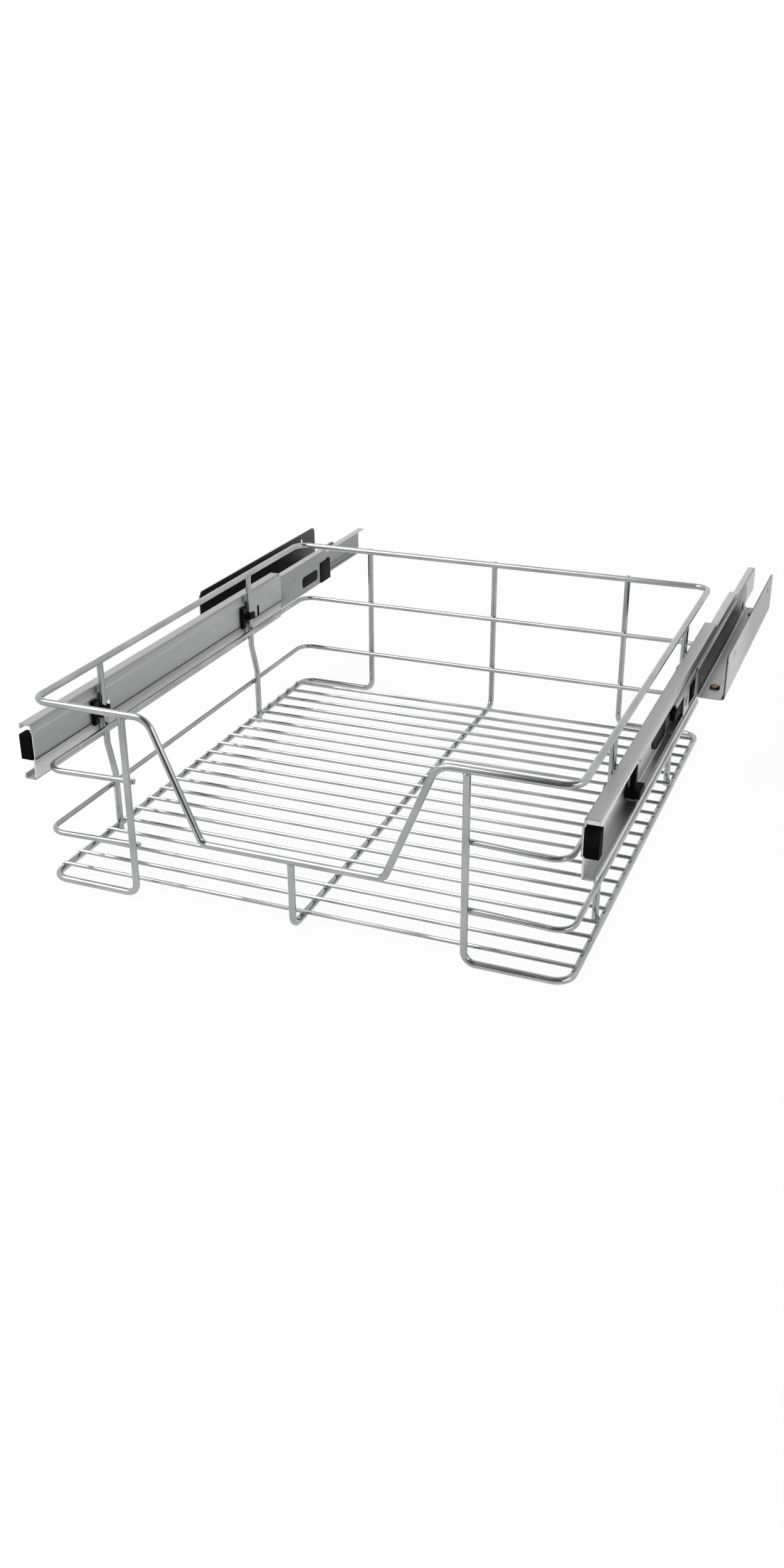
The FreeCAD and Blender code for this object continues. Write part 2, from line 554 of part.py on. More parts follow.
def wall_bracket():
    """U-shaped steel spacer: the inner flange carries the small rail, the outer one meets the wall."""
    half = BRACKET_STEEL / 2
    inner = RAIL_DEPTH + half
    outer = RAIL_DEPTH + BRACKET_WIDTH - half
    base = -BRACKET_DROP
    top = base + BRACKET_HEIGHT
    inner_top = base + BRACKET_INNER_HEIGHT
    line = [(inner, inner_top), (inner, base + half), (outer, base + half), (outer, top)]
    channel = sheet_bar(line, BRACKET_STEEL, BRACKET_BEND, BRACKET_FRONT, BRACKET_LENGTH)
    ends = (BRACKET_FRONT, BRACKET_FRONT + BRACKET_LENGTH)
    span = (RAIL_DEPTH, RAIL_DEPTH + BRACKET_WIDTH)
    sides = []
    for us, high in (((span[0], BRACKET_MIDDLE_U), inner_top), ((BRACKET_MIDDLE_U, span[1]), top)):
        outline = [(ends[0], base), (ends[1], base), (ends[1], high), (ends[0], high)]
        sides.append(channel.common(side_prism(outline, [0, 0, BRACKET_CORNER, BRACKET_CORNER], us)))
    wall_side = (BRACKET_MIDDLE_U, span[1])
    holes = [peg(WALL_HOLE, wall_side, y, base + WALL_HOLE_RISE) for y in along_bracket(WALL_HOLE_SPACING)]
    rivet_hole = RAIL_RIVET + 2 * HOLE_PLAY
    slide_side = (span[0], BRACKET_MIDDLE_U)
    holes += [peg(rivet_hole, slide_side, y, -RAIL_RIVET_DROP) for y in along_bracket(RAIL_RIVET_SPACING)]
    screw_hole = BRACKET_SCREW + 2 * HOLE_PLAY
    floor_v = (base - BRACKET_STEEL, base + 2 * BRACKET_STEEL)
    for y in along_bracket(BRACKET_SCREW_SPACING):
        holes.append(upright_peg(screw_hole, BRACKET_MIDDLE_U, y, floor_v))
    return sides[0].fuse(sides[1]).removeSplitter().cut(holes)


def bracket_screw(y):
    """Pan-head screw down through the middle of the bracket's floor."""
    seat = BRACKET_STEEL - BRACKET_DROP
    shank = upright_peg(BRACKET_SCREW, BRACKET_MIDDLE_U, y, (-BRACKET_DROP - BRACKET_SCREW_TIP, seat))
    head_v = (seat, seat + BRACKET_SCREW_HEAD_HEIGHT)
    head = upright_peg(BRACKET_SCREW_HEAD, BRACKET_MIDDLE_U, y, head_v)
    return shank.fuse(head).removeSplitter()


def rail_rivet(y):
    """Rivet that holds the web of the small rail to the bracket, with a head on each side."""
    inner = CABINET_WEB_U
    outer = RAIL_DEPTH + BRACKET_STEEL
    v = -RAIL_RIVET_DROP
    shank = peg(RAIL_RIVET, (inner, outer), y, v)
    inner_head = peg(RAIL_RIVET_HEAD, (inner - RAIL_RIVET_HEAD_HEIGHT, inner), y, v)
    outer_head = peg(RAIL_RIVET_HEAD, (outer, outer + RAIL_RIVET_HEAD_HEIGHT), y, v)
    return shank.fuse([inner_head, outer_head]).removeSplitter()


def mirrored(shape):
    return shape.mirror(Vector(0, 0, 0), Vector(1, 0, 0))


def save(name, shape):
    """Write one piece, moved to the origin under the middle of the whole drawer."""
    placed = shape.copy()
    placed.translate(ORIGIN_SHIFT)
    is_sound = all(solid.isValid() and solid.Volume > 0 for solid in placed.Solids)
    state = "sound" if is_sound else "NOT SOUND"
    print(f"{name}: {len(placed.Solids)} solids, {placed.Volume:.1f} mm3, {state}")
    placed.exportStep(f"parts/{name}.step")


def save_pair(name, shape):
    """Write a right-hand piece and its mirror image on the left."""
    save(f"right_{name}", shape)
    save(f"left_{name}", mirrored(shape))


def save_basket():
    rim = rim_wire()
    right_frame = frame_wire().cut(rim)
    frames = [right_frame, mirrored(right_frame), centre_frame_wire().cut(rim)]
    right_uprights = [side_upright(y).cut([rim, right_frame]) for y in UPRIGHT_YS]
    uprights = right_uprights + [mirrored(upright) for upright in right_uprights]
    band_off_upright = (UPRIGHT_WIRE + BAND_WIRE) / 2 - WELD_SINK
    lower_band = band_wire(UPRIGHT_FOOT_X + band_off_upright, LOWER_BAND_HEIGHT)
    upper_band = band_wire(HALF_WIDTH - band_off_upright, UPPER_BAND_HEIGHT)
    save("rim_wire", rim)
    save_pair("frame_wire", right_frame)
    save("centre_frame_wire", frames[2])
    save_pair("side_uprights", Part.makeCompound(right_uprights))
    save("lower_band_wire", lower_band.cut(frames + uprights))
    save("upper_band_wire", upper_band.cut(frames + uprights))
    save("floor_cross_wires", Part.makeCompound([wire.cut(frames) for wire in floor_cross_wires()]))
    clips = [wire_clip(*places) for places in zip(UPRIGHT_YS, clip_ys())]
    save_pair("wire_clips", Part.makeCompound(clips))
    save_pair("clip_screws", Part.makeCompound([clip_screw(y, v) for y, v in clip_screw_places()]))


def save_slides():
    outer_cage = (OUTER_BALL_U, OUTER_BALL_V, OUTER_CAGE_FRONT, OUTER_CAGE_LENGTH)
    inner_cage = (INNER_BALL_U, INNER_BALL_V, CABINET_FRONT + INNER_CAGE_FRONT, INNER_CAGE_LENGTH)
    save_pair("basket_rail", basket_rail())
    save_pair("front_bumper", front_bumper())
    save_pair("outer_ball_cage", ball_cage(OUTER_CAGE_U, BASKET_LIP_U - RUN_GAP, *outer_cage))
    save_pair("outer_balls", ball_rows(*outer_cage))
    save_pair("middle_rail", middle_rail())
    save_pair("middle_front_stop", middle_front_stop())
    save_pair("middle_rear_stop", middle_rear_stop())
    save_pair("inner_ball_cage", ball_cage(INNER_CAGE_U, MIDDLE_LIP_U - RUN_GAP, *inner_cage))
    save_pair("inner_balls", ball_rows(*inner_cage))
    save_pair("cabinet_rail", cabinet_rail())
    save_pair("release_lever", release_lever())
    save_pair("lever_pivot", lever_pivot())


def save_brackets():
    save_pair("wall_bracket", wall_bracket())
    screw_ys = along_bracket(BRACKET_SCREW_SPACING)
    rivet_ys = along_bracket(RAIL_RIVET_SPACING)
    save_pair("bracket_screws", Part.makeCompound([bracket_screw(y) for y in screw_ys]))
    save_pair("rail_rivets", Part.makeCompound([rail_rivet(y) for y in rivet_ys]))


os.makedirs("parts", exist_ok=True)
save_basket()
save_slides()
save_brackets()
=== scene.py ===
# %% [markdown]
# A pull-out drawer for a kitchen cabinet: a basket of bright wire, hung between two steel slides
# that run on balls. We dress the exact solids of the drawer, which arrive as a fixed frame, and
# never move them. Some solids only need a finish. Others, such as the bent wires, are drawn again
# here because a wire looks right only with clean bends, dressed ends and welds.

# %% Load the frame
import math
import bmesh
import bpy
from mathutils import Matrix, Vector


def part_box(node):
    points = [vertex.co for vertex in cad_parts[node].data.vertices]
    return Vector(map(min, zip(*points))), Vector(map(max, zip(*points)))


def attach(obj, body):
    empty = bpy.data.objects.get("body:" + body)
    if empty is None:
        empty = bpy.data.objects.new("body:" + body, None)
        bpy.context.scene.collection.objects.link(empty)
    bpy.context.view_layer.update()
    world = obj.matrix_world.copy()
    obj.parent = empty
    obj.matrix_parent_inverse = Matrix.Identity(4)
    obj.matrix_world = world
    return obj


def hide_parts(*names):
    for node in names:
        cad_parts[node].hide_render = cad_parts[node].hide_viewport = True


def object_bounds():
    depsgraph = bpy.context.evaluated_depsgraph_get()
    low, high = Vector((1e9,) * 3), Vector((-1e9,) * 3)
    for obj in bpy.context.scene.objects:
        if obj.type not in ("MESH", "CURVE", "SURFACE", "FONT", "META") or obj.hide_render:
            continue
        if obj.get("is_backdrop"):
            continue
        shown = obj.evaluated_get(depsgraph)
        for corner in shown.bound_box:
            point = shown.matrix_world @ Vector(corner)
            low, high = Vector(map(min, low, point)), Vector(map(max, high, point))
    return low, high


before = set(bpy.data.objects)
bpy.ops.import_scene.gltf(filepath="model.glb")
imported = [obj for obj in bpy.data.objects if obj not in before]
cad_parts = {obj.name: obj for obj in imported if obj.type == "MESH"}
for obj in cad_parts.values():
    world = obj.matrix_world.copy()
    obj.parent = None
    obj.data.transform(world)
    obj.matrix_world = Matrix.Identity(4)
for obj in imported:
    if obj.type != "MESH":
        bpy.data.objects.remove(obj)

cad_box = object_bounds()
print("box:", [round(value, 4) for corner in cad_box for value in corner])

# %% [markdown]
# The basket has its own corner from which everything is measured: the middle of the front wires,
# at the height of the lowest wires' centre. We find it from two of the solids, so that later
# lengths can be given in millimetres, as a drawing of the basket would give them.

# %% The basket's own corner
THICK_WIRE = 5.0
BAND_WIRE = 4.0
FLOOR_WIRE = 3.0
rim_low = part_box("rim_wire")[0]
frame_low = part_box("right_frame_wire")[0]
corner = Vector((0, rim_low.y + THICK_WIRE / 2000, frame_low.z + THICK_WIRE / 2000))


def spot(x, y, z):
    """A point of the basket in metres: x to the right, y back from the front wires, z up."""
    return Vector((x, y, z)) / 1000 + corner


def span(node, axis):
    """Lowest and highest value of a solid along one axis, in millimetres of the basket."""
    low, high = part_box(node)
    return (low[axis] - corner[axis]) * 1000, (high[axis] - corner[axis]) * 1000


print("corner:", [round(value, 5) for value in corner])
print("rail from the front:", [round(value, 2) for value in span("right_basket_rail", 1)])

# %% [markdown]
# Finishes and shapes are both written as node trees. Placing every node by hand makes long code,
# so two small classes do it. The first is a Term: one output of a node that takes part in sums as
# a number would. Each sum adds a Math node, so a mask reads like the formula it is.

# %% Sums on sockets
class Term:
    """One output of a node, which takes part in sums as a number would."""

    def __init__(self, graph, socket):
        self.graph = graph
        self.socket = socket

    def _sum(self, operation, first, second):
        return self.graph.node("ShaderNodeMath", {"operation": operation}, {0: first, 1: second})

    def __add__(self, other):
        return self._sum("ADD", self, other)

    __radd__ = __add__

    def __sub__(self, other):
        return self._sum("SUBTRACT", self, other)

    def __rsub__(self, other):
        return self._sum("SUBTRACT", other, self)

    def __mul__(self, other):
        return self._sum("MULTIPLY", self, other)

    __rmul__ = __mul__

    def __truediv__(self, other):
        return self._sum("DIVIDE", self, other)

    def __rtruediv__(self, other):
        return self._sum("DIVIDE", other, self)

    def __abs__(self):
        return self._sum("ABSOLUTE", self, 0.0)

    def rise(self, low, high):
        """Goes smoothly from 0 at low to 1 at high."""
        return self.graph.node("ShaderNodeMapRange", {"interpolation_type": "SMOOTHSTEP"},
                               {"Value": self, "From Min": low, "From Max": high})

    def past(self, face, sheet):
        """Steps from 0 to 1 within a sheet of this thickness that starts at a face."""
        return self.rise(face + 0.4 * sheet, face + 0.6 * sheet)


print("terms know", ", ".join(name for name in vars(Term) if not name.startswith("_")))

# %% [markdown]
# The second class is a Graph. It holds a tree and has one method that adds any kind of node: first
# the node's settings, because they decide which sockets it has, and then its values or links.

# %% A tree that is written from Python
class Graph:
    """A node tree that is written from Python."""

    def __init__(self, tree):
        self.tree = tree

    def node(self, kind, settings=None, sockets=None, output=0):
        """Adds one node: its settings first, then its sockets' values or links."""
        node = self.tree.nodes.new(kind)
        for name, value in (settings or {}).items():
            if name == "stops":
                self._set_stops(node.color_ramp, value)
            else:
                setattr(node, name, value)
        for name, value in (sockets or {}).items():
            self.feed(node.inputs[name], value)
        return Term(self, node.outputs[output])

    def feed(self, socket, value):
        """Links a Term to a socket, or sets a plain value on it."""
        if isinstance(value, Term):
            self.tree.links.new(value.socket, socket)
        else:
            socket.default_value = value

    def _set_stops(self, ramp, stops):
        while len(ramp.elements) < len(stops):
            ramp.elements.new(1.0)
        for element, (position, colour) in zip(ramp.elements, stops):
            element.position = position
            element.color = colour


print("graphs are ready")

# %% [markdown]
# A finish is a Graph that ends in one shader. Every pattern reads Object coordinates, so it is
# fixed to the metal at its real scale. Values that are the same all over are set on the shader
# itself, and only what really changes over the surface comes through nodes.

# %% A finish and its patterns
def grey(value, warm=0.0):
    """A grey in linear light, a little warmer or cooler."""
    return (value * (1 + warm), value, value * (1 - warm), 1.0)


class Finish(Graph):
    """A material in the making."""

    def __init__(self, name, **constants):
        self.material = bpy.data.materials.new(name)
        self.material.use_nodes = True
        super().__init__(self.material.node_tree)
        self.shader = self.tree.nodes["Principled BSDF"]
        for socket, value in constants.items():
            self.shader.inputs[socket.replace("_", " ")].default_value = value
        self.place = self.node("ShaderNodeTexCoord", output="Object")
        self.x, self.y, self.z = (
            self.node("ShaderNodeSeparateXYZ", sockets={0: self.place}, output=axis)
            for axis in range(3))

    def noise(self, per_metre, detail, stretch=(1, 1, 1)):
        """Soft random pattern with so many features to the metre, drawn out along the axes."""
        spread = self.node("ShaderNodeMapping", sockets={"Vector": self.place, "Scale": stretch})
        return self.node("ShaderNodeTexNoise",
                         sockets={"Vector": spread, "Scale": per_metre, "Detail": detail})

    def mix(self, share, first, second):
        """From the first colour to the second."""
        return self.node("ShaderNodeMix", {"data_type": "RGBA"}, {0: share, 6: first, 7: second}, 2)

    def bump(self, height, depth_mm, strength):
        """Relief that follows a pattern."""
        return self.node("ShaderNodeBump", sockets={"Height": height, "Distance": depth_mm / 1000,
                                                    "Strength": strength})

    def vary(self, **sockets):
        """Feeds the sockets whose value changes over the surface."""
        for name, value in sockets.items():
            self.feed(self.shader.inputs[name.replace("_", " ")], value)


print("finishes read Object coordinates, in metres")

# %% [markdown]
# Bright chrome on drawn wire is a mirror that is never quite perfect. Drawing leaves faint lines,
# the plating bath leaves slow changes in gloss, and handling leaves hazy spots. A mirror shows
# mostly what stands round it, so the finish stays simple: a cool mid grey that is a little deeper
# in patches, with a low roughness that drifts, and a very shallow ripple for the drawn surface.

# %% Chrome for the wires
chrome = Finish("bright_chrome", Metallic=1.0)
plating = chrome.noise(26, detail=3)
handling = chrome.noise(150, detail=2)
drawing = chrome.noise(900, detail=1)
chrome_tone = chrome.mix(plating.rise(0.3, 0.72), grey(0.33, -0.012), grey(0.43, -0.006))
chrome.vary(Base_Color=chrome_tone,
            Roughness=0.10 + 0.09 * plating + 0.10 * handling.rise(0.55, 0.8),
            Normal=chrome.bump(drawing, depth_mm=0.02, strength=0.35))
print("chrome:", len(chrome.tree.nodes), "nodes")

# %% [markdown]
# A bent wire follows one rule: straight runs between corners, an arc of known radius at each
# corner, and a round section all along. We could sweep it by hand, but Geometry Nodes do all of
# it: Fillet Curve rounds each corner by the radius stored on that point, and Curve to Mesh draws
# the section. The last stretch of an open wire tapers, because cut ends are tumbled smooth.

# %% A recipe for bent wire
class Recipe(Graph):
    """A shape written as Geometry Nodes, with named inputs."""

    def __init__(self, name, **inputs):
        tree = bpy.data.node_groups.new(name, "GeometryNodeTree")
        super().__init__(tree)
        tree.interface.new_socket("Geometry", in_out="OUTPUT", socket_type="NodeSocketGeometry")
        tree.interface.new_socket("Geometry", in_out="INPUT", socket_type="NodeSocketGeometry")
        for label, kind in inputs.items():
            tree.interface.new_socket(label, in_out="INPUT", socket_type="NodeSocket" + kind)
        self.entry = tree.nodes.new("NodeGroupInput")

    def given(self, name):
        """One of the named inputs."""
        return Term(self, self.entry.outputs[name])

    def stored(self, name):
        """The vector that each point carries under this name."""
        return self.node("GeometryNodeInputNamedAttribute", {"data_type": "FLOAT_VECTOR"},
                         {"Name": name})

    def done(self, shape, material):
        """Ends the tree: plain geometry, smooth shading and a material."""
        smooth = self.node("GeometryNodeSetShadeSmooth", sockets={"Geometry": shape})
        plain = self.node("GeometryNodeRealizeInstances", sockets={"Geometry": smooth})
        dressed = self.node("GeometryNodeSetMaterial",
                            sockets={"Geometry": plain, "Material": material})
        ending = self.tree.nodes.new("NodeGroupOutput")
        self.feed(ending.inputs[0], dressed)


wire = Recipe("bent_wire", Diameter="Float", Sides="Int", Steps="Int", Taper="Float",
              Material="Material")
bends = wire.node("GeometryNodeFilletCurve", {"mode": "POLY"},
                  {"Curve": wire.given("Geometry"), "Count": wire.given("Steps"),
                   "Radius": wire.node("GeometryNodeInputRadius")})
even = wire.node("GeometryNodeSetCurveRadius", sockets={"Curve": bends, "Radius": 1.0})
ends = wire.node("GeometryNodeCurveEndpointSelection", sockets={"Start Size": 1, "End Size": 1})
tapered = wire.node("GeometryNodeSetCurveRadius",
                    sockets={"Curve": even, "Selection": ends, "Radius": wire.given("Taper")})
section = wire.node("GeometryNodeCurvePrimitiveCircle",
                    sockets={"Resolution": wire.given("Sides"), "Radius": wire.given("Diameter") / 2})
wire.done(wire.node("GeometryNodeCurveToMesh",
                    sockets={"Curve": tapered, "Profile Curve": section, "Fill Caps": True}),
          wire.given("Material"))
print("bent wire recipe:", len(wire.tree.nodes), "nodes")

# %% [markdown]
# A recipe has to become a plain mesh before the piece is handed over. One helper runs it: it puts
# the recipe on a source object, sets the inputs by their identifiers, reads back the evaluated
# mesh, and removes the source. Sharp edges are then marked by angle, so caps stay flat.

# %% Turning recipes into plain pieces
def finished_piece(name, mesh, sharp=35):
    """A mesh as an object at the origin, smooth but for edges sharper than the angle."""
    mesh.name = name
    mesh.polygons.foreach_set("use_smooth", [True] * len(mesh.polygons))
    mesh.set_sharp_from_angle(angle=math.radians(sharp))
    piece = bpy.data.objects.new(name, mesh)
    bpy.context.scene.collection.objects.link(piece)
    return piece


def evaluated_mesh(source):
    """The mesh of an object once its modifiers have run."""
    bpy.context.view_layer.update()
    depsgraph = bpy.context.evaluated_depsgraph_get()
    return bpy.data.meshes.new_from_object(source.evaluated_get(depsgraph))


def grown(name, recipe, base, sharp=35, **sizes):
    """Runs a recipe on a curve or mesh and keeps the result as a plain piece."""
    source = bpy.data.objects.new(name + "_source", base)
    bpy.context.scene.collection.objects.link(source)
    modifier = source.modifiers.new("recipe", "NODES")
    modifier.node_group = recipe.tree
    for item in recipe.tree.interface.items_tree:
        if item.in_out == "INPUT" and item.name in sizes:
            modifier[item.identifier] = sizes[item.name]
    mesh = evaluated_mesh(source)
    source.modifiers.remove(modifier)
    bpy.data.objects.remove(source)
    return finished_piece(name, mesh, sharp)


print("recipes end as plain meshes at the origin")

# %% [markdown]
# A finished piece is handed over in two steps: it rides on a body, and it stands for one or more
# solids of the frame. The helper also measures how far the piece's box is from theirs, so that a wire
# that is bent wrongly shows at once.

# %% Handing a piece over
def hand_over(piece, body, slot, *nodes):
    """The piece rides on a body and stands for these solids; prints how far their boxes differ."""
    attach(piece, body)
    lows, highs = zip(*(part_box(node) for node in nodes))
    ours = [Vector(corner) for corner in piece.bound_box]
    off = 0.0
    for axis in range(3):
        off = max(off, abs(min(point[axis] for point in ours) - min(low[axis] for low in lows)),
                  abs(max(point[axis] for point in ours) - max(high[axis] for high in highs)))
    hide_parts(*nodes)
    print(f"{piece.name}: {len(piece.data.polygons)} faces,",
          f"box within {off * 1000:.2f} mm of the solid")


# %% [markdown]
# A path is a poly curve whose points carry the bend radius. Open wires get one more point close to
# each end, so the taper is short. Both sides of the basket mirror each other, so a path is written
# for the right and flipped for the left.

# %% Paths for the wires
TAPER_LENGTH = 0.6
WIRE_TAPER = 0.7                # thickness left at the very end


def path(*wires):
    """A curve of bent wires: each is a list of (x, y, z, bend) and whether it closes."""
    curve = bpy.data.curves.new("path", "CURVE")
    curve.dimensions = "3D"
    for corners, closed in wires:
        points = [(Vector(corner[:3]), corner[3]) for corner in corners]
        if not closed:
            points = with_short_ends(points)
        spline = curve.splines.new("POLY")
        spline.points.add(len(points) - 1)
        for target, (point, bend) in zip(spline.points, points):
            target.co = (*spot(*point), 1)
            target.radius = bend / 1000
        spline.use_cyclic_u = closed
    return curve


def with_short_ends(points):
    """The same run of points, with one more just inside each end."""
    first = points[0][0] + (points[1][0] - points[0][0]).normalized() * TAPER_LENGTH
    last = points[-1][0] + (points[-2][0] - points[-1][0]).normalized() * TAPER_LENGTH
    return [points[0], (first, 0)] + points[1:-1] + [(last, 0), points[-1]]


def flipped(corners):
    """The same corners on the left side of the basket."""
    return [(-x, y, z, bend) for x, y, z, bend in corners]


def bend_wire(name, curve, diameter, sides=14, steps=7):
    """A path drawn in chrome wire of one diameter."""
    return grown(name, wire, curve, Diameter=diameter / 1000, Sides=sides, Steps=steps,
                 Taper=WIRE_TAPER, Material=chrome.material)


print("paths are given in millimetres from the basket's corner")

# %% [markdown]
# The rim is one closed loop of thick wire. At the front it dips into a scoop, so that a hand can
# reach the lowest things in the basket. Its width, depth and height are read from the solid, and
# because it is the same on both sides, only its right half is written out.

# %% The rim
SCOOP_TOP = 205.0
SCOOP_FOOT = 133.0
SCOOP_HEIGHT = 50.0
CORNER_BEND = 12
SCOOP_BEND = 14
SCOOP_FOOT_BEND = 7
half_width = span("rim_wire", 0)[1] - THICK_WIRE / 2
rim_back = span("rim_wire", 1)[1] - THICK_WIRE / 2
rim_height = span("rim_wire", 2)[1] - THICK_WIRE / 2
rim_side = [(half_width, rim_back, rim_height, CORNER_BEND), (half_width, 0, rim_height, CORNER_BEND),
            (SCOOP_TOP / 2, 0, rim_height, SCOOP_BEND),
            (SCOOP_FOOT / 2, 0, SCOOP_HEIGHT, SCOOP_FOOT_BEND)]
rim = bend_wire("rim", path((rim_side + flipped(rim_side[::-1]), True)), THICK_WIRE,
                sides=18, steps=10)
hand_over(rim, "drawer", "chrome_wire", "rim_wire")

# %% [markdown]
# Each side frame is one wire too: down the front post, round the edge of the floor and up the back
# post. A third one runs under the middle of the floor, from the low front of the rim to the back.
# The recipe bends every spline that it is given, so all three lie in one curve.

# %% Side frames and the centre frame
FRONT_POST = 244.0 / 2
BACK_POST = 242.0 / 2
INTO_RIM = THICK_WIRE / 4
FOOT_BEND = 8
depth = span("right_frame_wire", 1)[1] - THICK_WIRE / 2
side_frame = [(FRONT_POST, 0, rim_height - INTO_RIM, 0), (FRONT_POST, 0, 0, FOOT_BEND),
              (half_width, 0, 0, CORNER_BEND), (half_width, depth, 0, CORNER_BEND),
              (BACK_POST, depth, 0, FOOT_BEND), (BACK_POST, depth, rim_height + INTO_RIM, 0)]
centre_frame = [(0, 0, SCOOP_HEIGHT - INTO_RIM, 0), (0, 0, 0, FOOT_BEND), (0, depth, 0, FOOT_BEND),
                (0, depth, rim_height + INTO_RIM, 0)]
frame_paths = [(side_frame, False), (flipped(side_frame), False), (centre_frame, False)]
frames = bend_wire("frames", path(*frame_paths), THICK_WIRE)
hand_over(frames, "drawer", "chrome_wire", "right_frame_wire", "left_frame_wire", "centre_frame_wire")

# %% [markdown]
# Two bands of thinner wire run round the sides and the back, welded to the inside of the posts.
# Their front corners reach a little further forward than the welds. Only width and height differ
# between them, so a loop draws both.

# %% Bands
SINK = 0.3                      # of one wire into another where they are welded
BAND_LEAD = 4.0                 # of the front corners over the welds on the posts
OVERHANG = 3.0                  # of the ends past the posts
off_post = (THICK_WIRE + BAND_WIRE) / 2 - SINK
band_heights = {}
band_paths = []
for band in ("lower", "upper"):
    half = span(f"{band}_band_wire", 0)[1] - BAND_WIRE / 2
    height = sum(span(f"{band}_band_wire", 2)) / 2
    end_y = off_post + BAND_LEAD * OVERHANG / (half - FRONT_POST)
    right_half = [(half, depth - off_post, height, CORNER_BEND),
                  (half, off_post - BAND_LEAD, height, CORNER_BEND),
                  (FRONT_POST - OVERHANG, end_y, height, 0)]
    band_heights[band] = height
    band_paths.append((flipped(right_half[::-1]) + right_half, False))
bands = bend_wire("bands", path(*band_paths), BAND_WIRE, sides=12)
hand_over(bands, "drawer", "chrome_wire", "lower_band_wire", "upper_band_wire")

# %% [markdown]
# Four uprights tie the rim to the floor. Each runs straight down beside the slide, steps inwards
# just below it, and ends on the inner side of the floor's edge. One path serves for all four.

# %% Uprights beside the slides
JOGGLE = 25.0                   # height of the step
JOGGLE_BELOW_RAIL = 4.5
JOGGLE_BEND = 10
joggle_top = span("right_basket_rail", 2)[0] - JOGGLE_BELOW_RAIL
upright_low, upright_high = span("right_side_uprights", 1)
upright_ys = (upright_low + THICK_WIRE / 2, upright_high - THICK_WIRE / 2)
foot_x = half_width - THICK_WIRE + SINK
upright_paths = []
for y in upright_ys:
    upright = [(half_width, y, rim_height - INTO_RIM, 0), (half_width, y, joggle_top, JOGGLE_BEND),
               (foot_x, y, joggle_top - JOGGLE, JOGGLE_BEND), (foot_x, y, -THICK_WIRE / 2, 0)]
    upright_paths += [(upright, False), (flipped(upright), False)]
uprights = bend_wire("uprights", path(*upright_paths), THICK_WIRE)
hand_over(uprights, "drawer", "chrome_wire", "right_side_uprights", "left_side_uprights")

# %% [markdown]
# The floor is a row of equal thin wires. This is what Geometry Nodes are best at: one tapered wire,
# a line of points at an even pitch, and one instance on each point. An Array modifier could repeat
# a wire too, but a tree keeps all its sizes together as named inputs.

# %% Floor wires
TUBE_POINTS = 4                 # two at each end of a wire, for its taper
TUBE_SIDES = 10
floor_recipe = Recipe("floor_wires", Count="Int", Pitch="Float", Length="Float", Diameter="Float",
                      Taper="Float", Material="Material")
half_length = floor_recipe.given("Length") / 2
tube = floor_recipe.node("GeometryNodeResampleCurve", sockets={
    "Curve": floor_recipe.node("GeometryNodeCurvePrimitiveLine"), "Count": TUBE_POINTS})
order = floor_recipe.node("GeometryNodeInputIndex") - (TUBE_POINTS - 1) / 2
is_end = abs(order).rise(0.9, 1.1)      # 0 at the two inner points, 1 at the two outer ones
which_end = floor_recipe.node("ShaderNodeMath", {"operation": "SIGN"}, {0: order})
x_place = which_end * (half_length - (1 - is_end) * (TAPER_LENGTH / 1000))
tube = floor_recipe.node("GeometryNodeSetPosition", sockets={
    "Geometry": tube, "Position": floor_recipe.node("ShaderNodeCombineXYZ", sockets={"X": x_place})})
tube = floor_recipe.node("GeometryNodeSetCurveRadius", sockets={
    "Curve": tube, "Radius": 1 - is_end * (1 - floor_recipe.given("Taper"))})
round_section = floor_recipe.node("GeometryNodeCurvePrimitiveCircle", sockets={
    "Resolution": TUBE_SIDES, "Radius": floor_recipe.given("Diameter") / 2})
one_wire = floor_recipe.node("GeometryNodeCurveToMesh", sockets={
    "Curve": tube, "Profile Curve": round_section, "Fill Caps": True})
row = floor_recipe.node("GeometryNodeMeshLine", sockets={
    "Count": floor_recipe.given("Count"),
    "Offset": floor_recipe.node("ShaderNodeCombineXYZ", sockets={"Y": floor_recipe.given("Pitch")})})
floor_recipe.done(floor_recipe.node("GeometryNodeInstanceOnPoints",
                                    sockets={"Points": row, "Instance": one_wire}),
                  floor_recipe.given("Material"))
print("floor recipe:", len(floor_recipe.tree.nodes), "nodes")

# %% [markdown]
# The recipe has no sizes of its own. Pitch and thickness come from the drawing, the count follows
# from the depth of the solid, and the finished row is carried to its place.

# %% Lay the floor
FLOOR_PITCH = 19.75
FLOOR_TAPER = 0.72              # thickness left at the very end
floor_low, floor_high = span("floor_cross_wires", 1)
floor_height = sum(span("floor_cross_wires", 2)) / 2
floor_first = floor_low + FLOOR_WIRE / 2
floor_count = round((floor_high - floor_low - FLOOR_WIRE) / FLOOR_PITCH) + 1
floor = grown("floor", floor_recipe, bpy.data.meshes.new("floor_start"), Count=floor_count,
              Pitch=FLOOR_PITCH / 1000, Length=2 * half_width / 1000, Diameter=FLOOR_WIRE / 1000,
              Taper=FLOOR_TAPER, Material=chrome.material)
floor.data.transform(Matrix.Translation(spot(0, floor_first, floor_height)))
hand_over(floor, "drawer", "chrome_wire", "floor_cross_wires")

# %% [markdown]
# Wherever two wires cross they are welded under pressure: the metal softens, sinks together and
# leaves a small collar in the corner, which is plated over with the wires. Joining the wires by a
# Boolean would be slow and would leave a sharp corner, so each weld gets a low, squashed ball. First
# we list where the balls go.

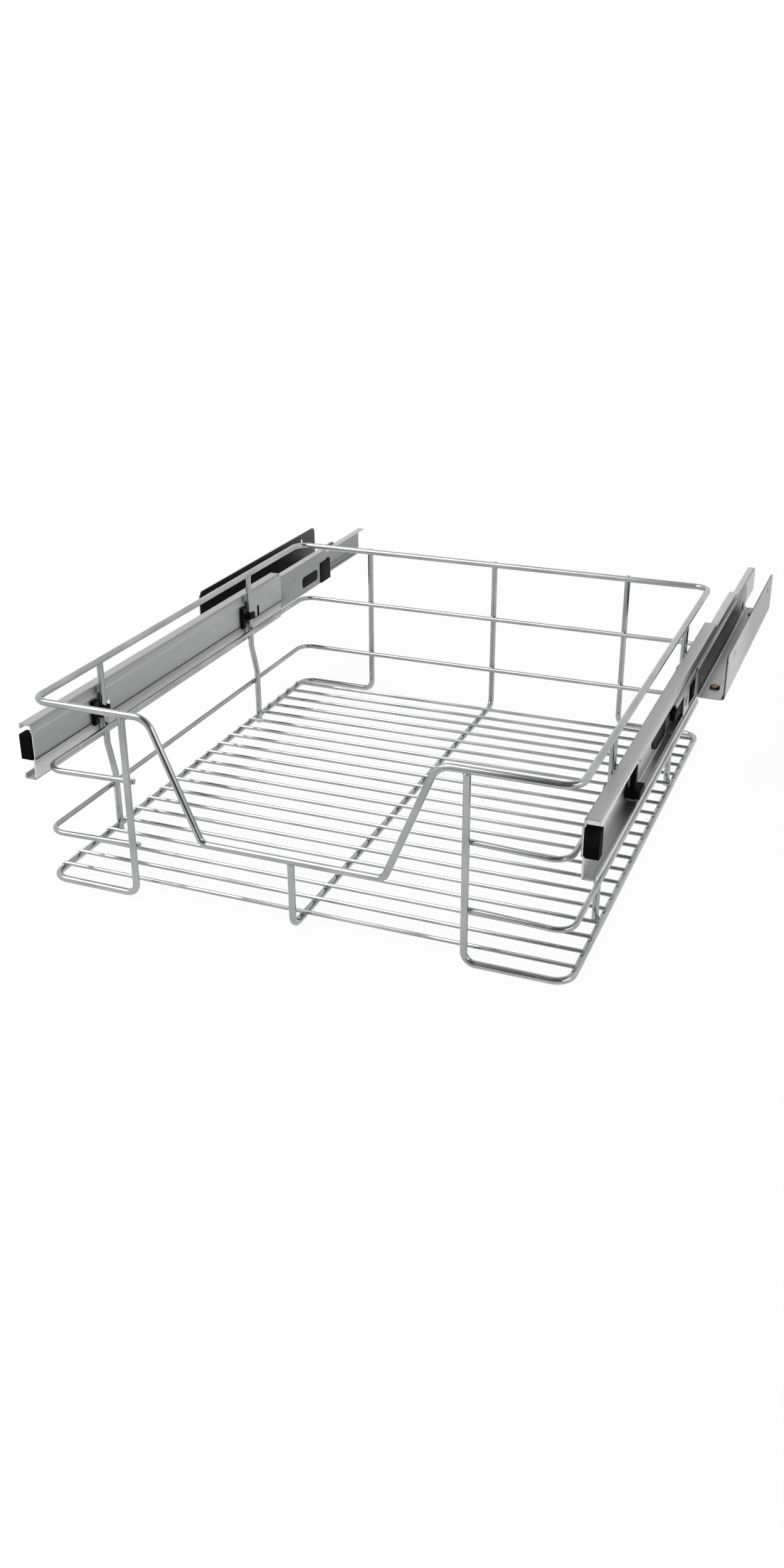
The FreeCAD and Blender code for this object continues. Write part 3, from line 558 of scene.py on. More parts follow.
# %% Where the wires are welded
UNDER_RIM = (2.9, 2.9, 1.1)     # how far a collar reaches along x, y and z
BEHIND_RIM = (2.6, 0.9, 2.8)
ON_FLOOR_EDGE = (0.9, 2.9, 2.4)
UNDER_FLOOR = (2.0, 2.0, 0.8)
ON_POST = (2.3, 0.8, 2.3)
ON_UPRIGHT = (0.8, 2.3, 2.3)
half_wire = THICK_WIRE / 2
welds = []
for i in range(floor_count):
    y = floor_first + i * FLOOR_PITCH
    for x in (-half_width, 0, half_width):
        welds.append((x, y, half_wire - SINK / 2, *UNDER_FLOOR))
for height in band_heights.values():
    for sign in (-1, 1):
        welds.append((sign * FRONT_POST, off_post - BAND_WIRE / 2, height, *ON_POST))
        welds.append((sign * BACK_POST, depth - half_wire, height, *ON_POST))
    welds.append((0, depth - half_wire, height, *ON_POST))
for y in upright_ys:
    for sign in (-1, 1):
        welds.append((sign * half_width, y, rim_height - half_wire, *UNDER_RIM))
        welds.append((sign * (half_width - half_wire), y, 0, *ON_FLOOR_EDGE))
        welds.append((sign * (foot_x + half_wire), y, band_heights["lower"], *ON_UPRIGHT))
        welds.append((sign * (half_width - half_wire), y, band_heights["upper"], *ON_UPRIGHT))
for sign in (-1, 1):
    welds.append((sign * FRONT_POST, 0, rim_height - half_wire, *UNDER_RIM))
    welds.append((sign * BACK_POST, rim_back + half_wire, rim_height, *BEHIND_RIM))
welds.append((0, 0, SCOOP_HEIGHT - half_wire, *UNDER_RIM))
welds.append((0, rim_back + half_wire, rim_height, *BEHIND_RIM))
print("welds:", len(welds))

# %% [markdown]
# Every collar starts as the same round ball. A vector on each point says how far it reaches along
# the three axes, and a random swell keeps one weld from looking like the next.

# %% Scatter the weld collars
SWELL = (0.88, 1.08)
collars = Recipe("weld_collars", Segments="Int", Rings="Int", Seed="Int", Material="Material")
ball = collars.node("GeometryNodeMeshUVSphere", sockets={
    "Segments": collars.given("Segments"), "Rings": collars.given("Rings"), "Radius": 1.0})
reach = collars.stored("reach")
swell = collars.node("FunctionNodeRandomValue", {"data_type": "FLOAT"},
                     {2: SWELL[0], 3: SWELL[1], "Seed": collars.given("Seed")}, output=1)
uneven = collars.node("ShaderNodeVectorMath", {"operation": "SCALE"}, {0: reach, "Scale": swell})
collars.done(collars.node("GeometryNodeInstanceOnPoints", sockets={
    "Points": collars.given("Geometry"), "Instance": ball, "Scale": uneven}),
    collars.given("Material"))
weld_points = bpy.data.meshes.new("weld_points")
weld_points.from_pydata([spot(*weld[:3]) for weld in welds], [], [])
reach_data = weld_points.attributes.new("reach", "FLOAT_VECTOR", "POINT")
reach_data.data.foreach_set("vector", [value / 1000 for weld in welds for value in weld[3:]])
weld_collars = grown("weld_collars", collars, weld_points, sharp=80, Segments=10, Rings=6, Seed=4,
                     Material=chrome.material)
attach(weld_collars, "drawer")
print("weld collars:", len(weld_collars.data.polygons), "faces")

# %% [markdown]
# The slides are rolled from zinc-plated strip. Rolling draws fine lines along the whole length, and
# zinc gives a soft, cloudy mid grey. A picture of brushed metal would have seams, so the pattern is
# noise that is stretched some eighty times along the slide and reads as lines. The solids themselves
# are exact already and only need the finish.

# %% Zinc strip
ROLLED = (1, 0.012, 1)          # draws noise out along the slide


def zinc(name, low, high, rough):
    """Plated strip: drawn lines along the slide, a cloudy bloom and a few hazy marks."""
    finish = Finish(name, Metallic=1.0)
    lines = finish.noise(1400, detail=2, stretch=ROLLED)
    bloom = finish.noise(38, detail=3, stretch=(1, 0.35, 1))
    marks = finish.noise(210, detail=2, stretch=(1, 0.2, 1)).rise(0.6, 0.78)
    finish.share = 0.55 * lines + 0.45 * bloom
    finish.tone = finish.mix(finish.share.rise(0.3, 0.7), grey(low, -0.01), grey(high, -0.004))
    finish.vary(Roughness=rough + 0.14 * (bloom - 0.5) + 0.10 * marks,
                Normal=finish.bump(lines, depth_mm=0.03, strength=0.4))
    return finish


def dress(finish, *nodes):
    """Gives solids of the frame a finish, in place of the one they came with."""
    for node in nodes:
        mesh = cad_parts[node].data
        mesh.materials.clear()
        mesh.materials.append(finish.material)
    print(finish.material.name, "on", ", ".join(nodes))


def pair(*names):
    """The left and right solids of these names."""
    return [f"{side}_{name}" for name in names for side in ("left", "right")]


print("noise is drawn out", round(1 / ROLLED[1]), "times along the slide")

# %% [markdown]
# On the large rail a line of painted shade follows the lower fold of the web, where the photograph
# shows it, and the bends that lead to the flanges are painted darker as shade. Inside the channel
# the zinc is painted light grey as painted light, lightest near the front end. The rail is one mesh,
# so masks tell its parts apart: each is a sum on Object coordinates that is 1 on one part of the
# section and 0 elsewhere.

# %% The large rails
rail_low, rail_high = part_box("right_basket_rail")
rail_centre = (rail_low.z + rail_high.z) / 2
web_face = rail_low.x
FOLD_DROP = 0.0055              # from the slide's centre down to the middle of the fold
BAND_TOP = 0.0145               # from the slide's centre up to the step over the web's band
STRIP = 0.0012                  # thickness of the strip
FOLD_SHADE_EDGE = (0.0008, 0.0022)  # how far from the fold the painted shade thins out
FRONT_LIGHT_REACH = (0.05, 0.11)       # how far behind the front end the lightest painted light fades
rail_half = (rail_high.z - rail_low.z) / 2
basket_zinc = zinc("zinc_large_rail", low=0.38, high=0.47, rough=0.44)
out_of_web = abs(basket_zinc.x)
off_centre = abs(basket_zinc.z - rail_centre)
on_web = 1 - out_of_web.rise(web_face + 0.8 * STRIP, web_face + STRIP)
# painted shade: a dark line along the lower fold of the web
off_fold = abs(basket_zinc.z - (rail_centre - FOLD_DROP))
in_fold = 1 - off_fold.rise(*FOLD_SHADE_EDGE)
fold_shaded = basket_zinc.mix(in_fold * on_web * 0.85, basket_zinc.tone, grey(0.035, 0.05))
band_top = rail_centre + BAND_TOP
over_band = basket_zinc.z.rise(band_top - 0.3 * STRIP, band_top + 0.3 * STRIP)
on_step = over_band * (1 - out_of_web.rise(web_face + 1.2 * STRIP, web_face + 1.4 * STRIP))
under_flange = 1 - off_centre.rise(rail_half - 1.1 * STRIP, rail_half - STRIP)
in_channel = out_of_web.past(web_face, STRIP) * (1 - on_step) * under_flange
on_flange = off_centre.rise(rail_half - 0.4 * STRIP, rail_half - 0.2 * STRIP)
# painted light: the inside of the channel is painted light grey, lightest near the front end
front_painted_light = basket_zinc.mix(basket_zinc.share, grey(0.64), grey(0.78))
rear_painted_light = basket_zinc.mix(basket_zinc.share, grey(0.48), grey(0.60))
behind_front = (basket_zinc.y - rail_low.y).rise(*FRONT_LIGHT_REACH)
channel_painted_light = basket_zinc.mix(behind_front, front_painted_light, rear_painted_light)
with_channel_light = basket_zinc.mix(in_channel, fold_shaded, channel_painted_light)
flanged = basket_zinc.mix(on_flange * 0.75, with_channel_light, grey(0.46))
# painted shade: the bends between the web and the flanges are painted a darker grey
on_bend = off_centre.rise(rail_half - 1.6 * STRIP, rail_half - STRIP) * (
    1 - out_of_web.rise(web_face + 1.8 * STRIP, web_face + 2.6 * STRIP))
basket_zinc.vary(Base_Color=basket_zinc.mix(on_bend * 0.7, flanged, grey(0.27)))
dress(basket_zinc, *pair("basket_rail"))

# %% [markdown]
# The middle and the small rail are of darker strip. They are pale in the groove where the balls run,
# and on the outer face of the small rail, which lies against the bracket. Masks find both again.

# %% The slim rails
slim_zinc = zinc("zinc_slim_rails", low=0.24, high=0.31, rough=0.40)
slim_x = abs(slim_zinc.x)
middle_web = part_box("right_middle_rail")[0].x
cabinet_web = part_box("right_cabinet_rail")[1].x - STRIP
in_groove = slim_x.past(middle_web, STRIP) * (1 - slim_x.past(cabinet_web - STRIP, STRIP))
outer_face = slim_x.past(cabinet_web, STRIP)
slim_pale = slim_zinc.mix(slim_zinc.share, grey(0.44), grey(0.56))
slim_zinc.vary(Base_Color=slim_zinc.mix(in_groove + outer_face, slim_zinc.tone, slim_pale))
dress(slim_zinc, *pair("middle_rail", "cabinet_rail"))

# %% [markdown]
# The wall brackets are pressed from thicker sheet. Outside the zinc is plain; inside the trough it is
# painted dark grey as painted shade, and almost black on the flange that meets the wall, and painted
# shade makes the sheet a little darker towards the back. Masks that step in the middle of the sheet
# tell inside from outside.

# %% The wall brackets
bracket_low, bracket_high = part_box("right_wall_bracket")
SHEET = 0.0015
BACK_SHADE_SPAN = (0.04, 0.14)    # where painted shade makes the sheet a little darker towards the back
REAR_STRETCH = 0.07             # over which the painted black shade on the wall flange thins at the back
bracket_zinc = zinc("zinc_bracket", low=0.44, high=0.56, rough=0.40)
reach_out = abs(bracket_zinc.x)
inside = (reach_out.past(bracket_low.x, SHEET) * (1 - reach_out.past(bracket_high.x - SHEET, SHEET))
          * bracket_zinc.z.past(bracket_low.z, SHEET))
on_wall = reach_out.rise(bracket_high.x - 2 * SHEET, bracket_high.x - 1.2 * SHEET)
on_floor = 1 - bracket_zinc.z.rise(bracket_low.z + 1.2 * SHEET, bracket_low.z + 2 * SHEET)
to_rear = bracket_zinc.y.rise(bracket_high.y - REAR_STRETCH, bracket_high.y)
# painted shade: the sheet is painted a little darker grey towards the back
back_shade_grey = bracket_zinc.mix(bracket_zinc.share, grey(0.28), grey(0.37))
back_shaded = bracket_zinc.mix(bracket_zinc.y.rise(*BACK_SHADE_SPAN) * 0.9, bracket_zinc.tone, back_shade_grey)
# painted shade: dark grey inside the trough, less on its floor, almost black on the wall flange,
# fading at the back
trough_shaded = bracket_zinc.mix(inside * (0.28 - 0.2 * on_floor), back_shaded, grey(0.03, 0.03))
wall_shaded = bracket_zinc.mix(inside * on_wall * (0.94 - 0.25 * to_rear), trough_shaded, grey(0.018))
bracket_zinc.vary(Base_Color=wall_shaded)
dress(bracket_zinc, *pair("wall_bracket"))

# %% [markdown]
# Ball cages are thin bare strip with a film of grease, and the balls are polished. The rivets of
# the release levers and of the small rails are plain turned steel, with lines round their axis.
# All of them sit deep between the rails, so a short tree for each is enough.

# %% Cages, balls and rivets
cage = zinc("cage_strip", low=0.20, high=0.30, rough=0.36)
cage.vary(Base_Color=cage.tone)
dress(cage, *pair("outer_ball_cage", "inner_ball_cage"))
ball_steel = Finish("polished_balls", Metallic=1.0)
film = ball_steel.noise(700, detail=2)
ball_steel.vary(Base_Color=ball_steel.mix(film.rise(0.35, 0.7), grey(0.5), grey(0.62)),
                Roughness=0.06 + 0.2 * film.rise(0.5, 0.8))
dress(ball_steel, *pair("outer_balls", "inner_balls"))
rivet = Finish("turned_rivet", Metallic=1.0)
turning = rivet.noise(2600, detail=2, stretch=(1, 0.4, 0.4))
rivet.vary(Base_Color=rivet.mix(turning, grey(0.28), grey(0.44)), Roughness=0.28 + 0.2 * turning)
dress(rivet, *pair("lever_pivot", "rail_rivets"))

# %% [markdown]
# The stops, clips and levers are moulded in black plastic, with the fine grain of the mould and
# patches that are rubbed a bit shiny. The bumpers are rubber: duller, with pores and a little dust.
# Both are so dark that their shine shows most, so it is set low and only the noise differs.

# %% Black plastic and rubber
plastic = Finish("moulded_black", Specular_IOR_Level=0.06)
grain = plastic.noise(2400, detail=2)
rub = plastic.noise(95, detail=3)
plastic.vary(Base_Color=plastic.mix(rub.rise(0.35, 0.75), grey(0.002), grey(0.007, 0.02)),
             Roughness=0.42 + 0.2 * rub + 0.06 * grain,
             Normal=plastic.bump(grain, depth_mm=0.03, strength=0.5))
rubber = Finish("black_rubber", Specular_IOR_Level=0.05)
pores = rubber.noise(1500, detail=3)
dust = rubber.noise(60, detail=3)
rubber.vary(Base_Color=rubber.mix(dust.rise(0.45, 0.8), grey(0.002), grey(0.008, 0.04)),
            Roughness=0.68 + 0.2 * dust, Normal=rubber.bump(pores, depth_mm=0.05, strength=0.6))
print("plastic:", len(plastic.tree.nodes), "nodes, rubber:", len(rubber.tree.nodes), "nodes")

# %% [markdown]
# A moulding never has a sharp edge. Its edges could be rounded in the solid, but that makes a heavy
# solid for a detail that only the eye needs. So the triangles of a copy are joined into flat faces,
# and the Bevel modifier gives every edge that is sharper than an angle a small round.

# %% Rounding a moulding
SAME_SPOT = 2e-6                # corners closer than this, in metres, are one
ROUND_STEPS = 3
SHARP_EDGE = 35                 # degrees, and rounded from there on
FLAT_EDGE = 2                   # degrees, and no edge at all below
CLIP_ROUND = 0.3
BUMPER_ROUND = 0.7
STOP_ROUND = 0.25
LEVER_ROUND = 0.5


def moulding(name, node, round_mm, finish, body, slot):
    """A copy of a solid with rounded edges, as it comes out of a mould."""
    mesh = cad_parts[node].data.copy()
    shape = bmesh.new()
    shape.from_mesh(mesh)
    bmesh.ops.remove_doubles(shape, verts=shape.verts, dist=SAME_SPOT)
    bmesh.ops.dissolve_limit(shape, angle_limit=math.radians(FLAT_EDGE), verts=shape.verts,
                             edges=shape.edges)
    shape.to_mesh(mesh)
    shape.free()
    mesh.materials.clear()
    mesh.materials.append(finish.material)
    source = bpy.data.objects.new(name + "_source", mesh)
    bpy.context.scene.collection.objects.link(source)
    bevel = source.modifiers.new("round", "BEVEL")
    bevel.width = round_mm / 1000
    bevel.segments = ROUND_STEPS
    bevel.limit_method = "ANGLE"
    bevel.angle_limit = math.radians(SHARP_EDGE)
    bevel.use_clamp_overlap = True
    rounded = evaluated_mesh(source)
    bpy.data.objects.remove(source)
    hand_over(finished_piece(name, rounded, sharp=40), body, slot, node)


for side in ("left", "right"):
    moulding(f"{side}_clips", f"{side}_wire_clips", CLIP_ROUND, plastic, "drawer", "black_plastic")
    moulding(f"{side}_bumper", f"{side}_front_bumper", BUMPER_ROUND, rubber, "drawer", "black_rubber")
    for end in ("front", "rear"):
        moulding(f"{side}_{end}_stop", f"{side}_middle_{end}_stop", STOP_ROUND, plastic,
                 f"{side}_middle", "black_plastic")
    moulding(f"{side}_lever", f"{side}_release_lever", LEVER_ROUND, plastic,
             f"{side}_lever", "black_plastic")

# %% [markdown]
# Screws are turned on a lathe, and so are ours: half of a section, spun round the axis, gives head
# and shank. A cylinder would do from afar, but light on a real head shows its round shoulder.

# %% A lathe
LATHE_STEPS = 24


def lathe(name, profile):
    """Spins pairs of radius and height, in millimetres, round the vertical axis."""
    shape = bmesh.new()
    angles = [2 * math.pi * i / LATHE_STEPS for i in range(LATHE_STEPS)]
    rings = []
    for radius, height in profile:
        if radius == 0:
            rings.append([shape.verts.new((0, 0, height / 1000))])
            continue
        ring = [Vector((radius * math.cos(angle), radius * math.sin(angle), height)) / 1000
                for angle in angles]
        rings.append([shape.verts.new(point) for point in ring])
    for lower, upper in zip(rings, rings[1:]):
        for i in range(LATHE_STEPS):
            j = (i + 1) % LATHE_STEPS
            quad = [lower[i % len(lower)], lower[j % len(lower)],
                    upper[j % len(upper)], upper[i % len(upper)]]
            shape.faces.new(list(dict.fromkeys(quad)))
    bmesh.ops.recalc_face_normals(shape, faces=shape.faces)
    mesh = bpy.data.meshes.new(name)
    shape.to_mesh(mesh)
    shape.free()
    return mesh


print("turned pieces have", LATHE_STEPS, "sides")

# %% [markdown]
# A cross of two tapered bars, taken away by a Boolean, makes the recess for the driver. It is cut
# once, in a master screw, and every screw of that kind is a copy of it.

# %% The master screw
RECESS_TAPER = 0.45             # length of the recess at its floor, as a share of that at its top


def cross_bars(length, width, top, floor):
    """Two bars that taper downwards, for a driver's recess."""
    shape = bmesh.new()
    for turned in (False, True):
        block = bmesh.ops.create_cube(shape, size=1)["verts"]
        for vert in block:
            share = 1.0 if vert.co.z > 0 else RECESS_TAPER
            x, y = vert.co.x * length * share, vert.co.y * width
            z = top if vert.co.z > 0 else floor
            vert.co = Vector((y, x, z) if turned else (x, y, z)) / 1000
    mesh = bpy.data.meshes.new("cross_bars")
    shape.to_mesh(mesh)
    shape.free()
    return mesh


def screw_master(name, head, head_height, shank, length):
    """A pan-head screw that stands on its seat at height 0, with its shank below."""
    radius = head / 2
    tip = [(0, -length), (shank * 0.28, -length), (shank / 2, -length + 0.5)]
    shoulder = [(radius, head_height * 0.45), (radius * 0.94, head_height * 0.68),
                (radius * 0.72, head_height * 0.9), (radius * 0.4, head_height)]
    profile = tip + [(shank / 2, 0), (radius, 0)] + shoulder + [(0, head_height)]
    body = bpy.data.objects.new(name, lathe(name, profile))
    cross = cross_bars(head * 0.62, head * 0.13, head_height + 0.5, head_height * 0.3)
    bars = bpy.data.objects.new(name + "_bars", cross)
    for item in (body, bars):
        bpy.context.scene.collection.objects.link(item)
    cut = body.modifiers.new("recess", "BOOLEAN")
    cut.operation = "DIFFERENCE"
    cut.object = bars
    cut.use_self = True
    mesh = evaluated_mesh(body)
    bpy.data.objects.remove(body)
    bpy.data.objects.remove(bars)
    print(f"{name}: {len(mesh.polygons)} faces")
    return mesh


# %% [markdown]
# The clip screws are black zinc, worn grey in places. The bracket screws are yellow zinc, and its
# tint drifts between brown and olive: three colours, so a ramp fits better than a mix of two.

# %% Finishes of the screws
black_screw = Finish("black_plated_screw", Metallic=0.8)
worn = black_screw.noise(420, detail=3)
black_screw.vary(Base_Color=black_screw.mix(worn.rise(0.5, 0.8), grey(0.02), grey(0.07)),
                 Roughness=0.32 + 0.2 * worn)
yellow = Finish("yellow_plated_screw", Metallic=1.0)
tint = yellow.noise(260, detail=3)
tints = [(0.25, (0.20, 0.13, 0.06, 1)), (0.5, (0.26, 0.19, 0.10, 1)), (0.75, (0.20, 0.17, 0.11, 1))]
yellow.vary(Base_Color=yellow.node("ShaderNodeValToRGB", {"stops": tints}, {"Fac": tint}),
            Roughness=0.25 + 0.2 * tint)
print("screw finishes are ready")

# %% [markdown]
# Where the screws sit could be typed in, but then they would drift from their holes as soon as a
# size changed. So it is read from the frame: every solid of a node is an island of joined triangles,
# and its box gives the screw's axis.

# %% Find every screw in the frame
def islands(node):
    """Boxes of the separate solids in one node."""
    shape = bmesh.new()
    shape.from_mesh(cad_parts[node].data)
    bmesh.ops.remove_doubles(shape, verts=shape.verts, dist=SAME_SPOT)
    seen = set()
    boxes = []
    for start in shape.verts:
        if start in seen:
            continue
        seen.add(start)
        queue = [start]
        for vert in queue:
            for edge in vert.link_edges:
                other = edge.other_vert(vert)
                if other not in seen:
                    seen.add(other)
                    queue.append(other)
        boxes.append([[outermost(vert.co[axis] for vert in queue) for axis in range(3)]
                      for outermost in (min, max)])
    shape.free()
    return boxes


print("screws on each side:", len(islands("right_clip_screws")), "in the clips,",
      len(islands("right_bracket_screws")), "in the bracket")

# %% [markdown]
# Geometry Nodes put the master screw on one point for each place, turned to its side by a vector
# that the point carries. No two screws stop at the same angle, so each is spun a bit further.

# %% Drive the screws
SPIN = 0.6                      # from one screw to the next, in radians
screw_recipe = Recipe("screws", Screw="Object", Material="Material")
master = screw_recipe.node("GeometryNodeObjectInfo", sockets={"Object": screw_recipe.given("Screw")},
                           output="Geometry")
screw_recipe.done(screw_recipe.node("GeometryNodeInstanceOnPoints", sockets={
    "Points": screw_recipe.given("Geometry"), "Instance": master,
    "Rotation": screw_recipe.stored("turn")}), screw_recipe.given("Material"))


def drive_screws(name, nodes, upright, shank, head, head_height, finish, body, slot):
    """Puts one screw in each place of these nodes, with its head up or towards the basket."""
    places = []
    turns = []
    axis = 2 if upright else 0
    for node in nodes:
        for low, high in islands(node):
            facing = Vector((0, 0, 1)) if upright else Vector((-1 if low[0] > 0 else 1, 0, 0))
            top = high[axis] if facing[axis] > 0 else low[axis]
            seat = [(a + b) / 2 for a, b in zip(low, high)]
            seat[axis] = top - facing[axis] * head_height / 1000
            spin = Matrix.Rotation(SPIN * len(places), 3, "Z")
            places.append(seat)
            turns += list((facing.to_track_quat("Z", "Y").to_matrix() @ spin).to_euler())
            length = (high[axis] - low[axis]) * 1000 - head_height
    points = bpy.data.meshes.new(name + "_points")
    points.from_pydata(places, [], [])
    points.attributes.new("turn", "FLOAT_VECTOR", "POINT").data.foreach_set("vector", turns)
    master_mesh = screw_master(name + "_master", head, head_height, shank, length)
    pattern = bpy.data.objects.new(name + "_master", master_mesh)
    bpy.context.scene.collection.objects.link(pattern)
    piece = grown(name, screw_recipe, points, sharp=30, Screw=pattern, Material=finish.material)
    bpy.data.objects.remove(pattern)
    hand_over(piece, body, slot, *nodes)


drive_screws("clip_screws", pair("clip_screws"), upright=False, shank=3.0, head=5.2, head_height=1.5,
             finish=black_screw, body="drawer", slot="black_zinc")
drive_screws("bracket_screws", pair("bracket_screws"), upright=True, shank=4.0, head=8.0,
             head_height=2.4, finish=yellow, body="cabinet_side", slot="yellow_zinc")

# %% [markdown]
# The drawer stands in a plain white studio. More light would make a floor white, but the drawer
# would turn too pale with it. So the camera, and mirrors such as chrome, see the floor as white,
# and near the drawer a little of the paper's real shade shows through as a soft shadow.

# %% The studio's floor
FLOOR_HALF = 6.0
FLOOR_GAP = 0.0005              # between the sheet and the lowest wires
SHADOW_SHARE = 0.06             # of the paper's real shade
SHADOW_REACH = (0.42, 1.1)      # over which it fades out, from the middle


def studio_sheet(name, points, faces, material):
    """A sheet that stands round the drawer and isn't part of it."""
    mesh = bpy.data.meshes.new(name)
    mesh.from_pydata(points, [], faces)
    mesh.materials.append(material)
    made = bpy.data.objects.new(name, mesh)
    bpy.context.scene.collection.objects.link(made)
    return made


def looked_at(graph):
    """1 for rays from the camera, from mirrors and through glass, 0 for light that spreads."""
    kinds = [graph.node("ShaderNodeLightPath", output=f"Is {kind} Ray")
             for kind in ("Camera", "Glossy", "Transmission")]
    return (kinds[0] + kinds[1] + kinds[2]).rise(0.0, 1.0)


paper = bpy.data.materials.new("studio_paper")
paper.use_nodes = True
paper.node_tree.nodes.remove(paper.node_tree.nodes["Principled BSDF"])
sheet_graph = Graph(paper.node_tree)
from_middle = sheet_graph.node("ShaderNodeVectorMath", {"operation": "LENGTH"}, {
    0: sheet_graph.node("ShaderNodeTexCoord", output="Object")}, output="Value")
near = 1 - from_middle.rise(*SHADOW_REACH)
white_share = looked_at(sheet_graph) * (1 - SHADOW_SHARE * near)
lit_paper = sheet_graph.node("ShaderNodeBsdfDiffuse", sockets={"Color": grey(0.9)})
white_paper = sheet_graph.node("ShaderNodeEmission", sockets={"Color": grey(1.0), "Strength": 1.0})
paper_mix = sheet_graph.node("ShaderNodeMixShader",
                             sockets={0: white_share, 1: lit_paper, 2: white_paper})
sheet_graph.feed(paper.node_tree.nodes["Material Output"].inputs["Surface"], paper_mix)
floor_corners = [(x * FLOOR_HALF, y * FLOOR_HALF, 0) for x, y in ((-1, -1), (1, -1), (1, 1), (-1, 1))]
sheet = studio_sheet("floor_sheet", floor_corners, [(0, 1, 2, 3)], paper)
sheet.location.z = cad_box[0].z - FLOOR_GAP
sheet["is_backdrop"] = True
print("floor:", 2 * FLOOR_HALF, "m wide")

# %% [markdown]
# The world follows the same rule: white to the camera and to mirrors, and a plain level of light
# from all sides for the rest.

# %% The world
WORLD_LIGHT = 0.45
world = bpy.data.worlds.new("studio")
world.use_nodes = True
bpy.context.scene.world = world
sky = Graph(world.node_tree)
backdrop = world.node_tree.nodes["Background"]
backdrop.inputs["Color"].default_value = grey(1.0)
sky.feed(backdrop.inputs["Strength"], WORLD_LIGHT + (1 - WORLD_LIGHT) * looked_at(sky))
print("world: strength", WORLD_LIGHT, "for the drawer, 1 for the camera and mirrors")

# %% [markdown]
# Two lamps light the drawer from the left and, more weakly, from the right. Small lamps would draw
# hard sparks on the round wires, so both are wide rectangles.

# %% Lamps
AIM = Vector((0, 0, 0.05))


def add_lamp(name, place, size, watts):
    """A soft rectangular lamp that points at the drawer."""
    lamp_data = bpy.data.lights.new(name, "AREA")
    lamp_data.shape = "RECTANGLE"
    lamp_data.size, lamp_data.size_y = size
    lamp_data.energy = watts
    lamp = bpy.data.objects.new(name, lamp_data)
    turn = (AIM - Vector(place)).to_track_quat("-Z", "Y").to_matrix().to_4x4()
    lamp.matrix_world = Matrix.Translation(place) @ turn
    bpy.context.scene.collection.objects.link(lamp)


add_lamp("key", (-1.1, -0.9, 1.9), size=(1.6, 1.6), watts=26)
add_lamp("fill", (1.6, -0.6, 1.1), size=(1.4, 1.2), watts=8)

# %% [markdown]
# Chrome needs something dark to mirror. A dark hood over the right front, which only reflections
# see, gives it dark stretches, as an unlit room would. It is a sheet that starts on the floor before
# the drawer and is bent up and over. It fades out to the left, where the studio is bright, and is a
# little thinner above the floor.

# %% The dark hood
HOOD_RADIUS = 1.1
HOOD_TURN = math.radians(112)    # from the floor in front, up and over
HOOD_STEPS = 16
HOOD_GAP = 0.34                  # of floor left white before the drawer
HOOD_LIFT = 0.002                # over the floor
HOOD_SIDES = (-0.3, 1.3)         # its left and right edge
HOOD_FADE = (-0.24, -0.05)       # from nothing to full darkness
HOOD_THINNING = 0.2
HOOD_THIN_FROM = 0.08            # height above which it is thinner
hood_cloth = bpy.data.materials.new("dark_hood")
hood_cloth.use_nodes = True
hood_graph = Graph(hood_cloth.node_tree)
hood_place = hood_graph.node("ShaderNodeTexCoord", output="Object")
hood_x = hood_graph.node("ShaderNodeSeparateXYZ", sockets={0: hood_place}, output="X")
hood_z = hood_graph.node("ShaderNodeSeparateXYZ", sockets={0: hood_place}, output="Z")
hood_share = hood_x.rise(*HOOD_FADE) * (1 - HOOD_THINNING * hood_z.rise(0.0, HOOD_THIN_FROM))
black_cloth = hood_graph.node("ShaderNodeBsdfDiffuse", sockets={"Color": grey(0.01)})
nothing = hood_graph.node("ShaderNodeBsdfTransparent")
hood_mix = hood_graph.node("ShaderNodeMixShader",
                           sockets={0: hood_share, 1: nothing, 2: black_cloth})
hood_graph.feed(hood_cloth.node_tree.nodes["Material Output"].inputs["Surface"], hood_mix)

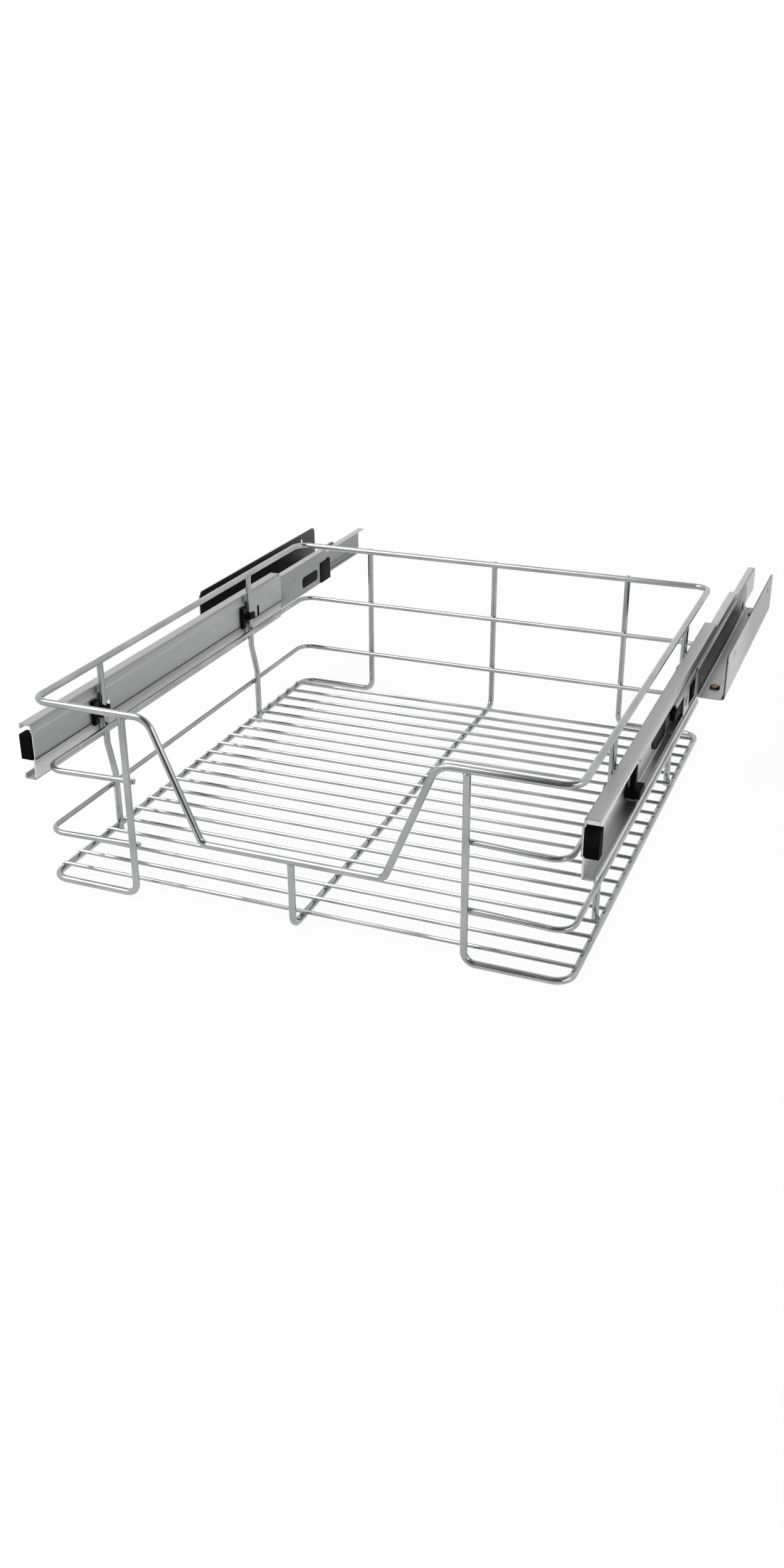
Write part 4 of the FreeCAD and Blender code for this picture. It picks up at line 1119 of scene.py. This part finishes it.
hood_front = cad_box[0].y
hood_line = [(hood_front - HOOD_GAP, HOOD_LIFT)]
for i in range(HOOD_STEPS + 1):
    arc = HOOD_TURN * i / HOOD_STEPS
    hood_line.append((hood_front - HOOD_RADIUS * math.cos(arc),
                      HOOD_LIFT + HOOD_RADIUS * math.sin(arc)))
hood_points = [(x, y, z) for y, z in hood_line for x in HOOD_SIDES]
hood_faces = [(2 * i, 2 * i + 1, 2 * i + 3, 2 * i + 2) for i in range(len(hood_line) - 1)]
hood = studio_sheet("dark_hood", hood_points, hood_faces, hood_cloth)
hood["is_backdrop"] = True
hood.visible_camera = False
hood.visible_diffuse = False
hood.visible_shadow = False
hood.visible_transmission = False
print("hood:", len(hood.data.polygons), "faces")

# %% [markdown]
# The camera stands in front, to the right and above, and is found by matching corners of the basket
# and the slides with the photograph. The picture is twice as high as it is wide, so the sensor's
# 36 mm lie along its height.

# %% The camera
YAW = math.radians(21.956)
PITCH = math.radians(25.155)
ROLL = math.radians(-0.266)
STAND = (0.36415, -1.02166, 0.48756)
FOCAL_SHARE = 264.143 / 300      # focal length as a share of the picture's height
SENSOR = 36                      # millimetres
ahead = Vector((-math.sin(YAW) * math.cos(PITCH), math.cos(YAW) * math.cos(PITCH),
                -math.sin(PITCH)))
level = Vector((math.cos(YAW), math.sin(YAW), 0))
right = math.cos(ROLL) * level + math.sin(ROLL) * level.cross(ahead)
upward = right.cross(ahead)
camera_data = bpy.data.cameras.new("camera")
camera_data.sensor_fit = "AUTO"
camera_data.sensor_width = SENSOR
camera_data.lens = SENSOR * FOCAL_SHARE
camera = bpy.data.objects.new("camera", camera_data)
view = Matrix((right, upward, -ahead)).transposed().to_4x4()
camera.matrix_world = Matrix.Translation(STAND) @ view
bpy.context.scene.collection.objects.link(camera)
bpy.context.scene.camera = camera
bpy.context.scene.view_settings.view_transform = "Standard"
print("camera at", [round(value, 3) for value in STAND], "lens", round(camera_data.lens, 2))

# %% [markdown]
# Last, the dressed drawer is measured against the box of its solids, to show by how much a finish
# made it larger than it is.

# %% Measure and finish
dressed_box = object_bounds()
growth = [(b - a) * 1000 for low, high in zip(cad_box, dressed_box) for a, b in zip(low, high)]
print("box grew by", [round(value, 2) for value in growth], "mm")
